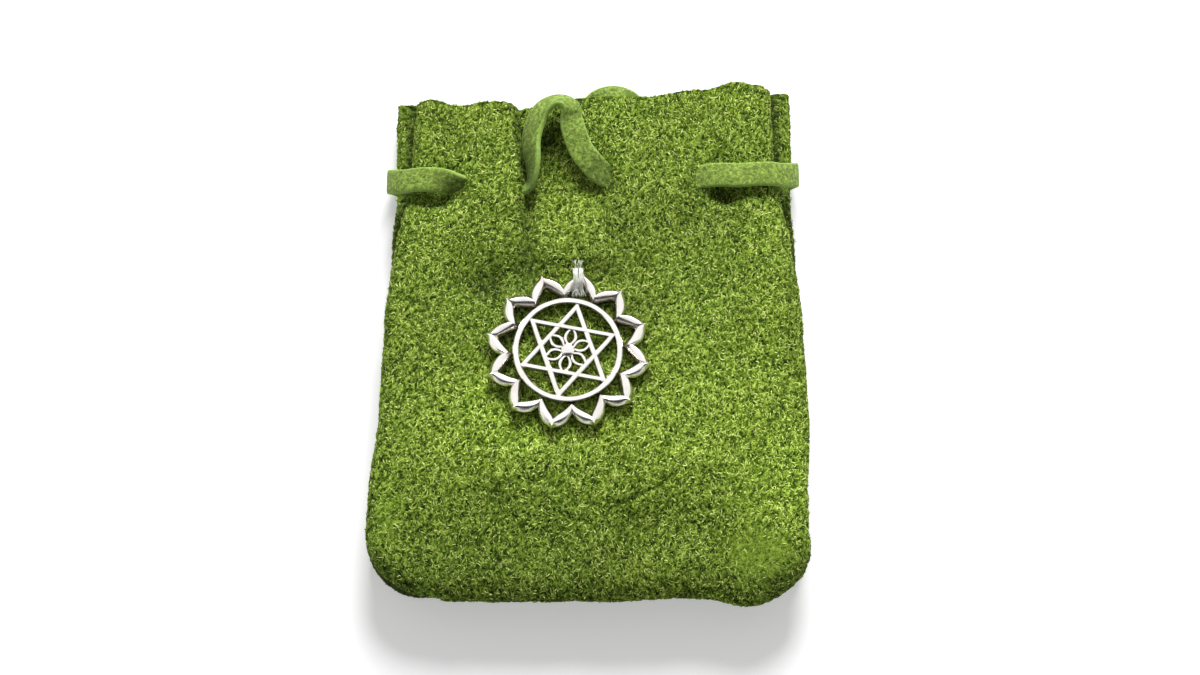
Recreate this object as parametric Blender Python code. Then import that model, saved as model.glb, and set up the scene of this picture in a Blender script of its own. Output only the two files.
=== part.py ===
"""Suede drawstring pouch with a lotus charm sewn to its front, lying on its back.

Two suede panels are sewn face to face round three sides and turned right side out, so the
seam allowances lie inside and each panel bulges as a soft lobe beside the seam. One flat
lace runs through four slots in each panel, round both sides of the neck, and stands out
as a pull loop on the front and another on the back. The cast charm is caught on the front
by a few turns of thread round one arm of its top petal, and it swings about that thread.

Metres, +Z up. X runs across the pouch, +Y towards its mouth, and the origin is on the
surface that the pouch lies on, under its back panel.
"""

import math

import bmesh
import bpy
import numpy as np
from mathutils import Vector

# Suede and seam
LEATHER = 0.0012  # thickness of both panels
SEAM_GAP = 0.0003  # between the two allowances
SEAM_HEIGHT = 0.0060  # of the seam's plane above the surface the pouch lies on
ALLOWANCE = 0.0040  # width of leather turned in past the seam
LOBE = 0.0026  # how far a panel bulges out past the seam
CLEARANCE = 0.0003  # between pieces that touch

# Outline, seen from the front
BOTTOM_Y = -0.0457
MOUTH_Y = 0.0465
BOTTOM_HALF_WIDTH = 0.0391
MOUTH_HALF_WIDTH = 0.0372
CORNER_RADIUS = 0.0098
NECK_SHIFT = 0.0010  # how far the pouch leans to the right above its bottom
SHIFT_START_Y = -0.0350
SHIFT_END_Y = -0.0120
NECK_PINCH = 0.0005  # taken off each side where the lace goes round
NECK_PINCH_REACH = 0.0060
BACK_PEEK = 0.0039  # how far the back shows beyond the front at the mouth
PEEK_START_Y = 0.0020
# Raw edges at the mouth: x, and how far the edge stands above or below the mouth's level.
# At the two seams the panels are level with each other, so their needle holes meet.
LEFT_SEAM_MOUTH = (-0.0298, 0.0012)
RIGHT_SEAM_MOUTH = (0.0318, 0.0040)
FRONT_MOUTH = (
    LEFT_SEAM_MOUTH,
    (-0.0235, -0.0011),
    (-0.0180, -0.0008),
    (-0.0125, -0.0007),
    (0.0025, 0.0001),
    (0.0100, -0.0002),
    (0.0210, 0.0019),
    (0.0285, 0.0042),
    RIGHT_SEAM_MOUTH,
)
BACK_MOUTH = (LEFT_SEAM_MOUTH, (-0.0200, 0.0020), (0.0200, 0.0026), RIGHT_SEAM_MOUTH)
# How much further than the back the front bulges along the bottom: x, and the difference
BOTTOM_ROLL = (
    (-0.0340, 0.0000),
    (-0.0270, 0.0014),
    (-0.0240, 0.0022),
    (0.0000, 0.0023),
    (0.0190, 0.0017),
    (0.0270, 0.0030),
    (0.0350, 0.0018),
)

# Heights of the front panel's face
FRONT_EDGE_HEIGHT = 0.0116
BODY_CROWN = 0.0032
MOUTH_CROWN = 0.0030
CROWN_POWER = 2.4
CROWN_RUN = 0.0240  # from the bottom edge to the full crown

# Heights of the back panel's face
MOUTH_LIFT = 0.0021  # room for the lace under the neck
LIFT_START_Y = 0.0080
LIFT_END_Y = 0.0250

# Gathers of the front panel: middle x and y, lean of the part above the middle, reach to the
# left, right, up and down, height
LACE_Y = 0.0303
GATHERS = (
    (-0.0178, LACE_Y, -0.08, 0.0048, 0.0048, 0.0400, 0.0200, 0.0012),  # left lobe
    (0.0130, LACE_Y, 0.05, 0.0085, 0.0085, 0.0400, 0.0200, 0.0009),  # broad right lobe
    (-0.0106, LACE_Y, -0.14, 0.0017, 0.0085, 0.0600, 0.0110, -0.0034),  # deep crease
    (-0.0268, 0.0292, 0.0, 0.0030, 0.0030, 0.0048, 0.0060, -0.0019),  # beside the first slot
    (0.0008, 0.0296, 0.0, 0.0032, 0.0032, 0.0042, 0.0060, -0.0018),  # beside the third slot
    (0.0250, 0.0300, 0.0, 0.0034, 0.0032, 0.0054, 0.0064, -0.0021),  # beside the fourth slot
)
# A hollow behind the top petals, where the charm's thread pulls the suede in and the tips swing
HOLLOW_DEPTH = 0.0019
HOLLOW_OFFSET = (-0.0010, 0.0014)  # from the sewn spot
HOLLOW_REACH = (0.0085, 0.0031)

# How finely the panels are divided
NORMAL_STEP = 0.0005  # for slopes of the faces
COLUMNS = 22
CORNER_STEPS = 2
SIDE_ROWS = 16
LOBE_STEPS = 4
COLUMN_CROWDING = 1.6  # how much closer the columns stand at the deep crease
COLUMN_CROWDING_X = -0.0105
COLUMN_CROWDING_WIDTH = 0.0050

# Lace and threads
LACE_WIDTH = 0.0046
LACE_THICKNESS = 0.0012
LACE_STEP = 0.0015
SEAM_THREAD = 0.0005
NEEDLE_HOLE = 0.0011
CHARM_THREAD = 0.00025
CHARM_THREAD_TURNS = 3
CHARM_THREAD_SLACK = 0.0001
CHARM_THREAD_PITCH = 0.0003
THREAD_ROUNDING = 0.4  # share of the reach that each turn's corners cut off

# Charm
CHARM_X = -0.0035
CHARM_Y = -0.0040
CHARM_TURN = math.radians(-11)
PETALS = 12
PETAL_TIP_RADIUS = 0.01525
# Contours of a petal from its valley to its tip: share of the way round, then the radii of the
# inner wall, of the ridge and of the outer foot as shares of the tip's radius
PETAL_CONTOURS = (
    (0.00, 0.652, 0.718, 0.777),
    (0.10, 0.660, 0.758, 0.826),
    (0.25, 0.684, 0.806, 0.872),
    (0.45, 0.725, 0.852, 0.916),
    (0.60, 0.754, 0.880, 0.941),
    (0.78, 0.793, 0.915, 0.960),
    (0.90, 0.820, 0.938, 0.978),
    (1.00, 0.844, 0.962, 1.000),
)
PETAL_STEPS = 5
PETAL_HEIGHT = 0.0019
PETAL_INNER_WALL = 0.0015
PETAL_OUTER_WALL = 0.0011
SWING_SAMPLES = 201
SEWN_SHARE = 0.76  # where on the top petal's left arm the thread goes round
RING_WIDTH = 0.0010
RING_LAP = 0.0001  # how far the ring runs into the petals' valleys
RING_RADIUS = PETAL_TIP_RADIUS * PETAL_CONTOURS[0][1] + RING_LAP - RING_WIDTH / 2
RING_HEIGHT = 0.0015
RING_STEPS = 48
STAR_BAR_WIDTH = 0.00095
# A triangle's corners are mitred to twice their bars' half width, and end inside the ring.
STAR_INSET = 0.00005
STAR_RADIUS = RING_RADIUS + RING_WIDTH / 2 - STAR_BAR_WIDTH - STAR_INSET
STAR_HEIGHT = 0.0012
FLAT_SHARE = 0.55  # of a bar's width, its flat top
WALL_SHARE = 0.8  # of a bar's height, its upright sides
FOOT = 0.0001  # steps between the shapes' undersides, so that no two flat faces coincide
ROSETTE_PETALS = 6
ROSETTE_VALLEY_RADIUS = 0.0016
ROSETTE_TIP_RADIUS = 0.0050
ROSETTE_ARM_WIDTH = 0.0007
ROSETTE_HEIGHT = 0.0011
ROSETTE_ARM_STEPS = 3
BOSS_RADIUS = 0.0015
BOSS_HEIGHT = 0.0017

# Route of the lace: x, y, z in millimetres, then the direction across its width. It starts
# on the front by the left side and goes through the slots to the right, then back behind.
LACE_ROUTE = (
    (-31.9, 30.3, 12.7, 0.0, 1.0, 0.0),
    (-29.6, 30.2, 13.0, 0.0, 1.0, 0.0),
    (-26.8, 30.0, 12.7, 0.0, 1.0, 0.0),
    (-24.0, 29.8, 12.1, 0.0, 1.0, 0.0),
    (-21.0, 29.8, 11.8, 0.0, 1.0, 0.0),
    (-17.5, 29.8, 11.9, 0.0, 1.0, 0.0),
    (-14.0, 29.8, 12.1, 0.0, 1.0, 0.0),
    (-11.8, 29.9, 12.4, 0.0, 1.0, 0.0),
    (-10.4, 30.2, 13.2, -0.1, 0.9, -0.4),
    (-9.9, 31.6, 14.3, -0.4, 0.6, -0.7),
    (-10.1, 34.0, 14.8, -0.65, 0.15, -0.75),
    (-10.5, 37.4, 15.0, -0.85, 0.0, -0.5),
    (-9.7, 41.2, 15.5, -0.88, 0.1, -0.45),
    (-8.0, 44.0, 16.4, -0.65, 0.4, -0.65),
    (-6.2, 45.2, 17.0, -0.25, 0.5, -0.82),
    (-4.2, 45.5, 17.4, 0.1, 0.35, -0.92),
    (-2.8, 44.3, 17.4, 0.45, 0.2, -0.87),
    (-3.0, 42.5, 17.0, 0.75, 0.2, -0.62),
    (-3.8, 40.4, 16.5, 0.9, 0.3, -0.3),
    (-2.8, 37.8, 15.9, 0.88, 0.45, -0.1),
    (-1.3, 35.3, 15.4, 0.85, 0.5, 0.05),
    (0.2, 33.2, 15.1, 0.75, 0.65, 0.16),
    (2.2, 31.4, 14.0, 0.4, 0.9, 0.1),
    (4.6, 30.5, 12.5, 0.1, 1.0, 0.0),
    (8.0, 30.0, 12.0, 0.0, 1.0, 0.0),
    (11.5, 29.9, 12.0, 0.0, 1.0, 0.0),
    (15.0, 29.9, 12.0, 0.0, 1.0, 0.0),
    (18.5, 29.9, 11.9, 0.0, 1.0, 0.0),
    (21.5, 30.0, 12.2, 0.0, 1.0, 0.0),
    (24.5, 30.6, 12.8, 0.0, 1.0, 0.0),
    (27.5, 31.1, 13.0, 0.0, 1.0, 0.0),
    (30.6, 31.4, 13.0, 0.0, 1.0, 0.0),
    (33.4, 31.6, 12.7, 0.0, 1.0, 0.0),
    (36.0, 31.6, 11.1, 0.0, 1.0, 0.0),
    (38.1, 31.5, 8.4, 0.0, 1.0, 0.0),
    (38.8, 31.4, 5.2, 0.0, 1.0, 0.0),
    (38.1, 31.2, 2.4, 0.0, 1.0, 0.0),
    (35.9, 31.0, 1.0, 0.0, 1.0, 0.0),
    (32.0, 30.8, 0.9, 0.0, 1.0, 0.0),
    (28.5, 30.5, 0.9, 0.0, 1.0, 0.0),
    (25.8, 30.3, 1.2, 0.0, 1.0, 0.0),
    (24.2, 30.2, 2.6, 0.0, 1.0, 0.0),
    (22.6, 30.2, 4.0, 0.0, 1.0, 0.0),
    (19.8, 30.2, 4.2, 0.0, 1.0, 0.0),
    (16.6, 30.2, 4.2, 0.0, 1.0, 0.0),
    (14.0, 30.2, 4.0, 0.0, 1.0, 0.0),
    (12.4, 30.3, 2.6, 0.0, 1.0, 0.0),
    (10.7, 30.6, 1.2, 0.2, 0.95, 0.0),
    (8.4, 31.8, 0.9, 0.45, 0.9, 0.0),
    (7.2, 34.4, 0.9, 0.9, 0.4, 0.0),
    (7.4, 38.0, 0.9, 1.0, 0.1, 0.0),
    (8.0, 41.8, 0.9, 1.0, 0.2, 0.0),
    (8.5, 45.4, 0.9, 1.0, 0.1, 0.0),
    (8.8, 49.4, 1.1, 1.0, 0.0, 0.1),
    (8.6, 51.4, 2.7, 0.9, -0.1, 0.45),
    (7.2, 52.7, 4.6, 0.35, -0.4, 0.85),
    (4.6, 53.1, 5.5, -0.1, -0.4, 0.9),
    (2.2, 52.5, 4.6, -0.55, -0.2, 0.8),
    (0.8, 51.1, 2.7, -0.9, -0.1, 0.4),
    (0.2, 49.0, 1.1, -1.0, 0.0, 0.1),
    (-0.2, 44.6, 0.9, -1.0, 0.05, 0.0),
    (-0.8, 40.6, 0.9, -1.0, 0.05, 0.0),
    (-1.3, 36.6, 0.9, -1.0, 0.2, 0.0),
    (-2.2, 33.4, 0.9, -0.85, 0.55, 0.0),
    (-4.4, 31.2, 1.1, -0.25, 0.97, 0.0),
    (-6.2, 30.5, 2.4, 0.0, 1.0, 0.0),
    (-7.8, 30.3, 4.0, 0.0, 1.0, 0.0),
    (-10.6, 30.2, 4.2, 0.0, 1.0, 0.0),
    (-14.2, 30.2, 4.2, 0.0, 1.0, 0.0),
    (-17.8, 30.2, 4.2, 0.0, 1.0, 0.0),
    (-20.9, 30.2, 4.0, 0.0, 1.0, 0.0),
    (-22.6, 30.2, 2.6, 0.0, 1.0, 0.0),
    (-24.2, 30.2, 1.2, 0.0, 1.0, 0.0),
    (-27.2, 30.2, 0.9, 0.0, 1.0, 0.0),
    (-31.0, 30.2, 0.9, 0.0, 1.0, 0.0),
    (-34.2, 30.3, 1.0, 0.0, 1.0, 0.0),
    (-36.2, 30.3, 2.5, 0.0, 1.0, 0.0),
    (-36.95, 30.3, 5.2, 0.0, 1.0, 0.0),
    (-36.4, 30.3, 8.4, 0.0, 1.0, 0.0),
    (-34.4, 30.3, 11.2, 0.0, 1.0, 0.0),
)
# Where the route crosses each panel: the x to look near, and whether it's on the way back
FRONT_SLOTS = (-0.0236, -0.0128, 0.0040, 0.0216)
BACK_SLOTS = (0.0242, 0.0124, -0.0059, -0.0226)
SLOT_REACH = 0.0030  # of each slot's cutter along the lace, either way


def clear_scene():
    for obj in list(bpy.data.objects):
        bpy.data.objects.remove(obj)


def smooth(low, high, value):
    """0 up to low, 1 from high on, and a smooth rise between."""
    t = min(1.0, max(0.0, (value - low) / (high - low)))
    return t * t * (3 - 2 * t)


def bell(offset, before, after):
    """A bell curve with a different reach on each side of its middle."""
    return math.exp(-((offset / (before if offset < 0 else after)) ** 2))


def material(name, colour, roughness, metallic=0.0):
    made = bpy.data.materials.new(name)
    made.use_nodes = True
    shader = made.node_tree.nodes["Principled BSDF"]
    shader.inputs["Base Color"].default_value = (*colour, 1.0)
    shader.inputs["Roughness"].default_value = roughness
    shader.inputs["Metallic"].default_value = metallic
    return made


def add_object(name, mesh, look):
    obj = bpy.data.objects.new(name, mesh)
    bpy.context.scene.collection.objects.link(obj)
    obj.data.materials.append(look)
    return obj


def mesh_from(name, points, faces):
    """A closed mesh whose faces are turned outwards."""
    built = bmesh.new()
    verts = [built.verts.new(p) for p in points]
    for face in faces:
        built.faces.new([verts[i] for i in face])
    bmesh.ops.recalc_face_normals(built, faces=built.faces)
    mesh = bpy.data.meshes.new(name)
    built.to_mesh(mesh)
    built.free()
    mesh.shade_smooth()
    mesh.set_sharp_from_angle(angle=math.radians(40))
    return mesh


def combine(obj, other, operation):
    """A Boolean with another object, which is then only a helper."""
    other.hide_render = True
    other.display_type = "WIRE"
    step = obj.modifiers.new(f"{operation.lower()}_{other.name}", "BOOLEAN")
    step.operation = operation
    step.object = other
    step.solver = "EXACT"


# Shape of the pouch


def silhouette(y):
    """Half the pouch's width at height y."""
    half = BOTTOM_HALF_WIDTH + (MOUTH_HALF_WIDTH - BOTTOM_HALF_WIDTH) * smooth(BOTTOM_Y, MOUTH_Y, y)
    return half - NECK_PINCH * bell(y - LACE_Y, NECK_PINCH_REACH, NECK_PINCH_REACH)


def middle(y):
    """x of the pouch's middle at height y."""
    return NECK_SHIFT * smooth(SHIFT_START_Y, SHIFT_END_Y, y)


def back_peek(y):
    return BACK_PEEK * smooth(PEEK_START_Y, MOUTH_Y, y)


def seam_half_width(y):
    return silhouette(y) - LOBE - back_peek(y)


def across_share(x, y):
    return min(1.0, abs(x - middle(y)) / seam_half_width(y))


def front_height(x, y):
    """Height of the front panel's outer face."""
    crown = BODY_CROWN + (MOUTH_CROWN - BODY_CROWN) * smooth(0.0, MOUTH_Y, y)
    crown *= smooth(BOTTOM_Y + LOBE, BOTTOM_Y + CROWN_RUN, y)
    height = FRONT_EDGE_HEIGHT + crown * (1 - across_share(x, y) ** CROWN_POWER)
    for middle_x, middle_y, lean, left, right, up, down, rise in GATHERS:
        middle_x += lean * max(0.0, y - middle_y)
        height += rise * bell(x - middle_x, left, right) * bell(y - middle_y, down, up)
    spot_x, spot_y, _ = sewn_spot()
    across = (x - spot_x - HOLLOW_OFFSET[0]) / HOLLOW_REACH[0]
    along = (y - spot_y - HOLLOW_OFFSET[1]) / HOLLOW_REACH[1]
    return height - HOLLOW_DEPTH * math.exp(-across * across - along * along)


def back_height(x, y):
    """Height of the back panel's outer face, which is flat where the pouch rests on it."""
    return MOUTH_LIFT * smooth(LIFT_START_Y, LIFT_END_Y, y)


def along_points(points, x):
    """A smooth line through a few (x, value) points, level beyond the first and the last."""
    if x <= points[0][0]:
        return points[0][1]
    for (low_x, low), (high_x, high) in zip(points, points[1:]):
        if x <= high_x:
            return low + (high - low) * smooth(low_x, high_x, x)
    return points[-1][1]


def front_mouth_rise(x):
    return along_points(FRONT_MOUTH, x)


def back_mouth_rise(x):
    return along_points(BACK_MOUTH, x)


def front_lobe(x, y, out):
    """How far the front bulges past the seam, which is further where the seam faces down."""
    return LOBE + along_points(BOTTOM_ROLL, x) * max(0.0, -out[1])


def back_lobe(x, y, out):
    """How far the back bulges past the seam, which is further where it shows beside the front."""
    return LOBE + back_peek(y) * abs(out[0])


def mouth_columns():
    """Shares of the width, from -1 to 1, that crowd together at the deep crease."""
    half = seam_half_width(MOUTH_Y)
    fine = np.linspace(-half, half, 2001)
    near = np.exp(-(((fine - COLUMN_CROWDING_X) / COLUMN_CROWDING_WIDTH) ** 2))
    reached = np.cumsum(1 + COLUMN_CROWDING * near)
    reached = (reached - reached[0]) / (reached[-1] - reached[0])
    return np.interp(np.linspace(0, 1, COLUMNS + 1), reached, fine) / half


def side_levels():
    low = BOTTOM_Y + CORNER_RADIUS
    return [low + (MOUTH_Y - low) * j / SIDE_ROWS for j in range(SIDE_ROWS + 1)]


def seam_plan(mouth_rise):
    """Plan of one panel inside its seam, as columns of (x, y), and the seam's outward directions."""
    levels = side_levels()
    turn = CORNER_RADIUS - LOBE
    corner_x = seam_half_width(levels[0]) - turn
    rows = CORNER_STEPS + SIDE_ROWS + 1
    plan = np.zeros((COLUMNS + 1, rows, 2))
    outward = {}
    shares = mouth_columns()
    even = np.linspace(-1, 1, COLUMNS + 1)
    gather_level = LACE_Y - LACE_WIDTH
    for j, level in enumerate(levels):
        gathered = min(1.0, (level - levels[0]) / (gather_level - levels[0]))
        near_mouth = smooth(LACE_Y, MOUTH_Y, level)
        for i in range(COLUMNS + 1):
            share = even[i] + (shares[i] - even[i]) * gathered
            x = middle(level) + share * seam_half_width(level)
            plan[i, j + CORNER_STEPS] = (x, level + near_mouth * mouth_rise(x))
        outward[0, j + CORNER_STEPS] = (-1.0, 0.0)
        outward[COLUMNS, j + CORNER_STEPS] = (1.0, 0.0)

    # The bottom edge: a corner arc, a straight run and the other corner arc.
    for i in range(COLUMNS + 1):
        left, right = i < CORNER_STEPS, i > COLUMNS - CORNER_STEPS
        from_end = i if left else COLUMNS - i
        if left or right:
            angle = math.radians(45 * (1 + from_end / CORNER_STEPS))
            sign = -1 if left else 1
            outward[i, 0] = (sign * math.cos(angle), -math.sin(angle))
            plan[i, 0] = np.array((sign * corner_x, levels[0])) + turn * np.array(outward[i, 0])
        else:
            share = 2 * (i - CORNER_STEPS) / (COLUMNS - 2 * CORNER_STEPS) - 1
            outward[i, 0] = (0.0, -1.0)
            plan[i, 0] = (share * corner_x, levels[0] - turn)

    # The rows beside the corner arcs are blended from the bottom edge to the first level.
    for j in range(1, CORNER_STEPS):
        up = j / CORNER_STEPS
        angle = math.radians(45 * (1 - up))
        ends = {}
        for i, sign in ((0, -1), (COLUMNS, 1)):
            outward[i, j] = (sign * math.cos(angle), -math.sin(angle))
            arc = np.array((sign * corner_x, levels[0])) + turn * np.array(outward[i, j])
            ends[i] = arc - ((1 - up) * plan[i, 0] + up * plan[i, CORNER_STEPS])
        for i in range(COLUMNS + 1):
            share = i / COLUMNS
            plan[i, j] = (1 - up) * plan[i, 0] + up * plan[i, CORNER_STEPS]
            plan[i, j] += (1 - share) * ends[0] + share * ends[COLUMNS]
    return plan, outward


def seam_stations(rows):
    """The patch's border round the seam: down the left side, along the bottom, up the right."""
    down = [(0, j) for j in range(rows - 1, -1, -1)]
    along = [(i, 0) for i in range(1, COLUMNS + 1)]
    up = [(COLUMNS, j) for j in range(1, rows)]
    return down + along + up


def face_normal(height, x, y):
    step = NORMAL_STEP
    slope_x = (height(x + step, y) - height(x - step, y)) / (2 * step)
    slope_y = (height(x, y + step) - height(x, y - step)) / (2 * step)
    return np.array(Vector((-slope_x, -slope_y, 1.0)).normalized())


class Panel:
    """One panel: a face inside the seam, a lobe that bulges past it, and the turned-in allowance."""

    def __init__(self, name, side, height, mouth_rise, lobe_reach):
        self.name = name
        self.side = side  # 1 for the front, -1 for the back
        self.height = height
        self.lobe_reach = lobe_reach
        self.plan, self.outward = seam_plan(mouth_rise)
        self.stations = seam_stations(self.plan.shape[1])
        self.points = []
        self.faces = []
        self.seam_side = SEAM_HEIGHT + side * SEAM_GAP / 2
        self.holes = []

    def add(self, point):
        self.points.append(point)
        return len(self.points) - 1

    def face_points(self, inner):
        """Points of the face inside the seam, on its outer or its inner surface."""
        columns, rows, _ = self.plan.shape
        index = np.zeros((columns, rows), int)
        border = set(self.stations)
        for i in range(columns):
            for j in range(rows):
                x, y = self.plan[i, j]
                point = np.array((x, y, self.height(x, y)))
                if inner and (i, j) in border:
                    point[2] -= self.side * LEATHER
                elif inner:
                    point -= self.side * LEATHER * face_normal(self.height, x, y)
                index[i, j] = self.add(point)
        return index

    def rim_points(self, face_index, inner):
        """Rings from the face's border round the lobe to the allowance's raw edge."""
        skin = LEATHER if inner else 0.0
        rings = []
        for i, j in self.stations:
            x, y = self.plan[i, j]
            out = np.array((*self.outward[i, j], 0.0))
            reach = self.lobe_reach(x, y, out) - skin
            face_z = self.height(x, y)
            halfway = (face_z + self.seam_side) / 2
            rise = abs(face_z - self.seam_side) / 2 - skin
            ring = [face_index[i, j]]
            for k in range(1, LOBE_STEPS + 1):
                angle = math.pi * k / LOBE_STEPS
                offset = out * reach * math.sin(angle)
                z = halfway + self.side * rise * math.cos(angle)
                ring.append(self.add(np.array((x, y, z)) + offset))
            z = self.seam_side + self.side * skin
            ring.append(self.add(np.array((x, y, z)) - out * ALLOWANCE))
            rings.append(ring)
        return rings

    def needle_hole(self, corners):
        """Four points of a small square in the middle of one stretch of the allowance."""
        spots = [self.points[i] for i in corners]
        centre = sum(spots) / 4
        along = spots[1] + spots[2] - spots[0] - spots[3]
        along /= np.linalg.norm(along)
        across = np.array((-along[1], along[0], 0.0))
        if across @ (spots[3] - spots[0]) < 0:
            across = -across
        half = NEEDLE_HOLE / 2
        turns = ((-1, -1), (1, -1), (1, 1), (-1, 1))
        made = [self.add(centre + half * (a * along + b * across)) for a, b in turns]
        return made, centre, along

    def skin(self, inner):
        """One surface of the panel; returns the open edges that the other surface meets."""
        face = self.face_points(inner)
        rings = self.rim_points(face, inner)
        columns, rows = face.shape
        for i in range(columns - 1):
            for j in range(rows - 1):
                self.faces.append((face[i, j], face[i + 1, j], face[i + 1, j + 1], face[i, j + 1]))
        holes = []
        for first, second in zip(rings, rings[1:]):
            for k in range(LOBE_STEPS):
                self.faces.append((first[k], second[k], second[k + 1], first[k + 1]))
            corners = (first[-2], second[-2], second[-1], first[-1])
            hole, centre, along = self.needle_hole(corners)
            holes.append(hole)
            for k in range(4):
                after = (k + 1) % 4
                self.faces.append((corners[k], corners[after], hole[after], hole[k]))
            if not inner:
                self.holes.append((centre, along))
        edge = list(reversed(rings[0]))
        edge += [face[i, rows - 1] for i in range(1, columns)]
        edge += rings[-1][1:]
        edge += [ring[-1] for ring in reversed(rings[1:-1])]
        return edge, holes

    def mesh(self):
        outer, outer_holes = self.skin(inner=False)
        inner, inner_holes = self.skin(inner=True)
        loops = [(outer, inner)] + list(zip(outer_holes, inner_holes))
        for first, second in loops:
            for k in range(len(first)):
                after = (k + 1) % len(first)
                self.faces.append((first[k], first[after], second[after], second[k]))
        return mesh_from(self.name, self.points, self.faces)


# Lace


def catmull_rom(p0, p1, p2, p3, t):
    return 0.5 * (
        2 * p1
        + (p2 - p0) * t
        + (2 * p0 - 5 * p1 + 4 * p2 - p3) * t**2
        + (3 * p1 - p0 - 3 * p2 + p3) * t**3
    )


def lace_line():
    """Points down the middle of the lace, about LACE_STEP apart, with the direction across it."""
    knots = np.array(LACE_ROUTE)
    knots[:, :3] *= 0.001
    count = len(knots)
    fine = []
    for k in range(count):
        around = [knots[(k + n) % count] for n in (-1, 0, 1, 2)]
        fine += [catmull_rom(*around, step / 12) for step in range(12)]
    fine = np.array(fine + [fine[0]])
    along = np.concatenate([[0], np.cumsum(np.linalg.norm(np.diff(fine[:, :3], axis=0), axis=1))])
    steps = round(along[-1] / LACE_STEP)
    at = np.linspace(0, along[-1], steps + 1)[:-1]
    return np.stack([np.interp(at, along, fine[:, k]) for k in range(6)], axis=1)


def strip_mesh(name, line, width, thickness, closed):
    """A flat strip along a line of points that carry the direction across the strip."""
    count = len(line)
    points, faces = [], []
    for k in range(count):
        before = line[(k - 1) % count] if closed else line[max(k - 1, 0)]
        after = line[(k + 1) % count] if closed else line[min(k + 1, count - 1)]
        ahead = after[:3] - before[:3]
        ahead /= np.linalg.norm(ahead)
        across = line[k][3:] - ahead * (line[k][3:] @ ahead)
        across /= np.linalg.norm(across)
        up = np.cross(ahead, across)
        for a, b in ((-1, -1), (1, -1), (1, 1), (-1, 1)):
            points.append(line[k][:3] + across * a * width / 2 + up * b * thickness / 2)
    last = count if closed else count - 1
    for k in range(last):
        here, there = 4 * k, 4 * ((k + 1) % count)
        for c in range(4):
            d = (c + 1) % 4
            faces.append((here + c, here + d, there + d, there + c))
    if not closed:
        faces.append((0, 1, 2, 3))
        faces.append(tuple(4 * (count - 1) + c for c in (3, 2, 1, 0)))
    return mesh_from(name, points, faces)


def cut_slots(panel, line, places, behind):
    """Cuts the panel where the lace passes through it, with clearance all round."""
    along = np.arange(len(line)) * LACE_STEP
    for number, place in enumerate(places, 1):
        candidates = [
            k
            for k, p in enumerate(line)
            if (p[2] < SEAM_HEIGHT) == behind and abs(p[1] - LACE_Y) < LACE_WIDTH / 2
        ]
        nearest = min(candidates, key=lambda k: abs(line[k][0] - place))
        reach = math.ceil(SLOT_REACH / LACE_STEP)
        stretch = line[nearest - reach : nearest + reach + 1]
        name = f"{panel.name}_slot_{number}"
        width, thickness = LACE_WIDTH + 2 * CLEARANCE, LACE_THICKNESS + 2 * CLEARANCE
        mesh = strip_mesh(name, stretch, width, thickness, False)
        cutter = bpy.data.objects.new(name, mesh)
        bpy.context.scene.collection.objects.link(cutter)
        combine(panel, cutter, "DIFFERENCE")


# Threads


def tube(name, points, thickness, look, sides=4):
    """A round thread along a line of points."""
    curve = bpy.data.curves.new(name, "CURVE")
    curve.dimensions = "3D"
    curve.fill_mode = "FULL"
    curve.bevel_depth = thickness / 2
    curve.bevel_resolution = (sides - 4) // 2
    curve.use_fill_caps = True
    spline = curve.splines.new("POLY")
    spline.points.add(len(points) - 1)
    for spot, point in zip(spline.points, points):
        spot.co = (*point, 1.0)
    return add_object(name, curve, look)


def seam_thread_points(holes):
    """A running stitch that goes over and under both allowances through the needle holes."""
    stand_off = SEAM_GAP / 2 + LEATHER + CLEARANCE + SEAM_THREAD / 2
    lean = SEAM_THREAD / 2
    points = []
    side = 1
    for centre, along in holes:
        hole = np.array((centre[0], centre[1], SEAM_HEIGHT))
        points.append(hole - along * lean + np.array((0, 0, side * stand_off)))
        side = -side
        points.append(hole + along * lean + np.array((0, 0, side * stand_off)))
    return points


def charm_thread_points(spot, top, bottom):
    """Turns of thread over the petal's arm and through the front panel."""
    reach = thread_reach()
    corner = THREAD_ROUNDING * reach
    loop = (
        (reach, top - corner),
        (reach - corner, top),
        (corner - reach, top),
        (-reach, top - corner),
        (-reach, bottom + corner),
        (corner - reach, bottom),
        (reach - corner, bottom),
        (reach, bottom + corner),
    )
    points = []
    steps = len(loop) * CHARM_THREAD_TURNS
    for k in range(steps):
        y, z = loop[k % len(loop)]
        drift = CHARM_THREAD_PITCH * (k / len(loop) - CHARM_THREAD_TURNS / 2)
        points.append((spot[0] + drift, spot[1] + y, z))
    return points


# Charm


def mitred_sweep(name, path, section):
    """A section of (offset, z) points swept round a closed flat path, mitred at its corners."""
    count = len(path)
    points, faces = [], []
    for k in range(count):
        back = path[k] - path[(k - 1) % count]
        ahead = path[(k + 1) % count] - path[k]
        back, ahead = back / np.linalg.norm(back), ahead / np.linalg.norm(ahead)
        left = np.array((-back[1] - ahead[1], back[0] + ahead[0]))
        left /= np.linalg.norm(left)
        left /= left @ np.array((-back[1], back[0]))
        points += [(*(path[k] + left * offset), z) for offset, z in section]
    size = len(section)
    for k in range(count):
        here, there = size * k, size * ((k + 1) % count)
        for c in range(size):
            d = (c + 1) % size
            faces.append((here + c, here + d, there + d, there + c))
    return mesh_from(name, points, faces)


def ridged_section(width, ridge, wall, height, base=0.0):
    half, top = width / 2, ridge / 2
    return ((-half, base), (half, base), (half, wall), (top, height), (-top, height), (-half, wall))


def petal_angle(half_petal, share):
    """Direction of a point of the petal ring, whose first half petal ends at the upper tip."""
    half = math.pi / PETALS
    along = share if half_petal % 2 == 0 else 1 - share
    return math.pi / 2 + half * (1 - half_petal - along)


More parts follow.
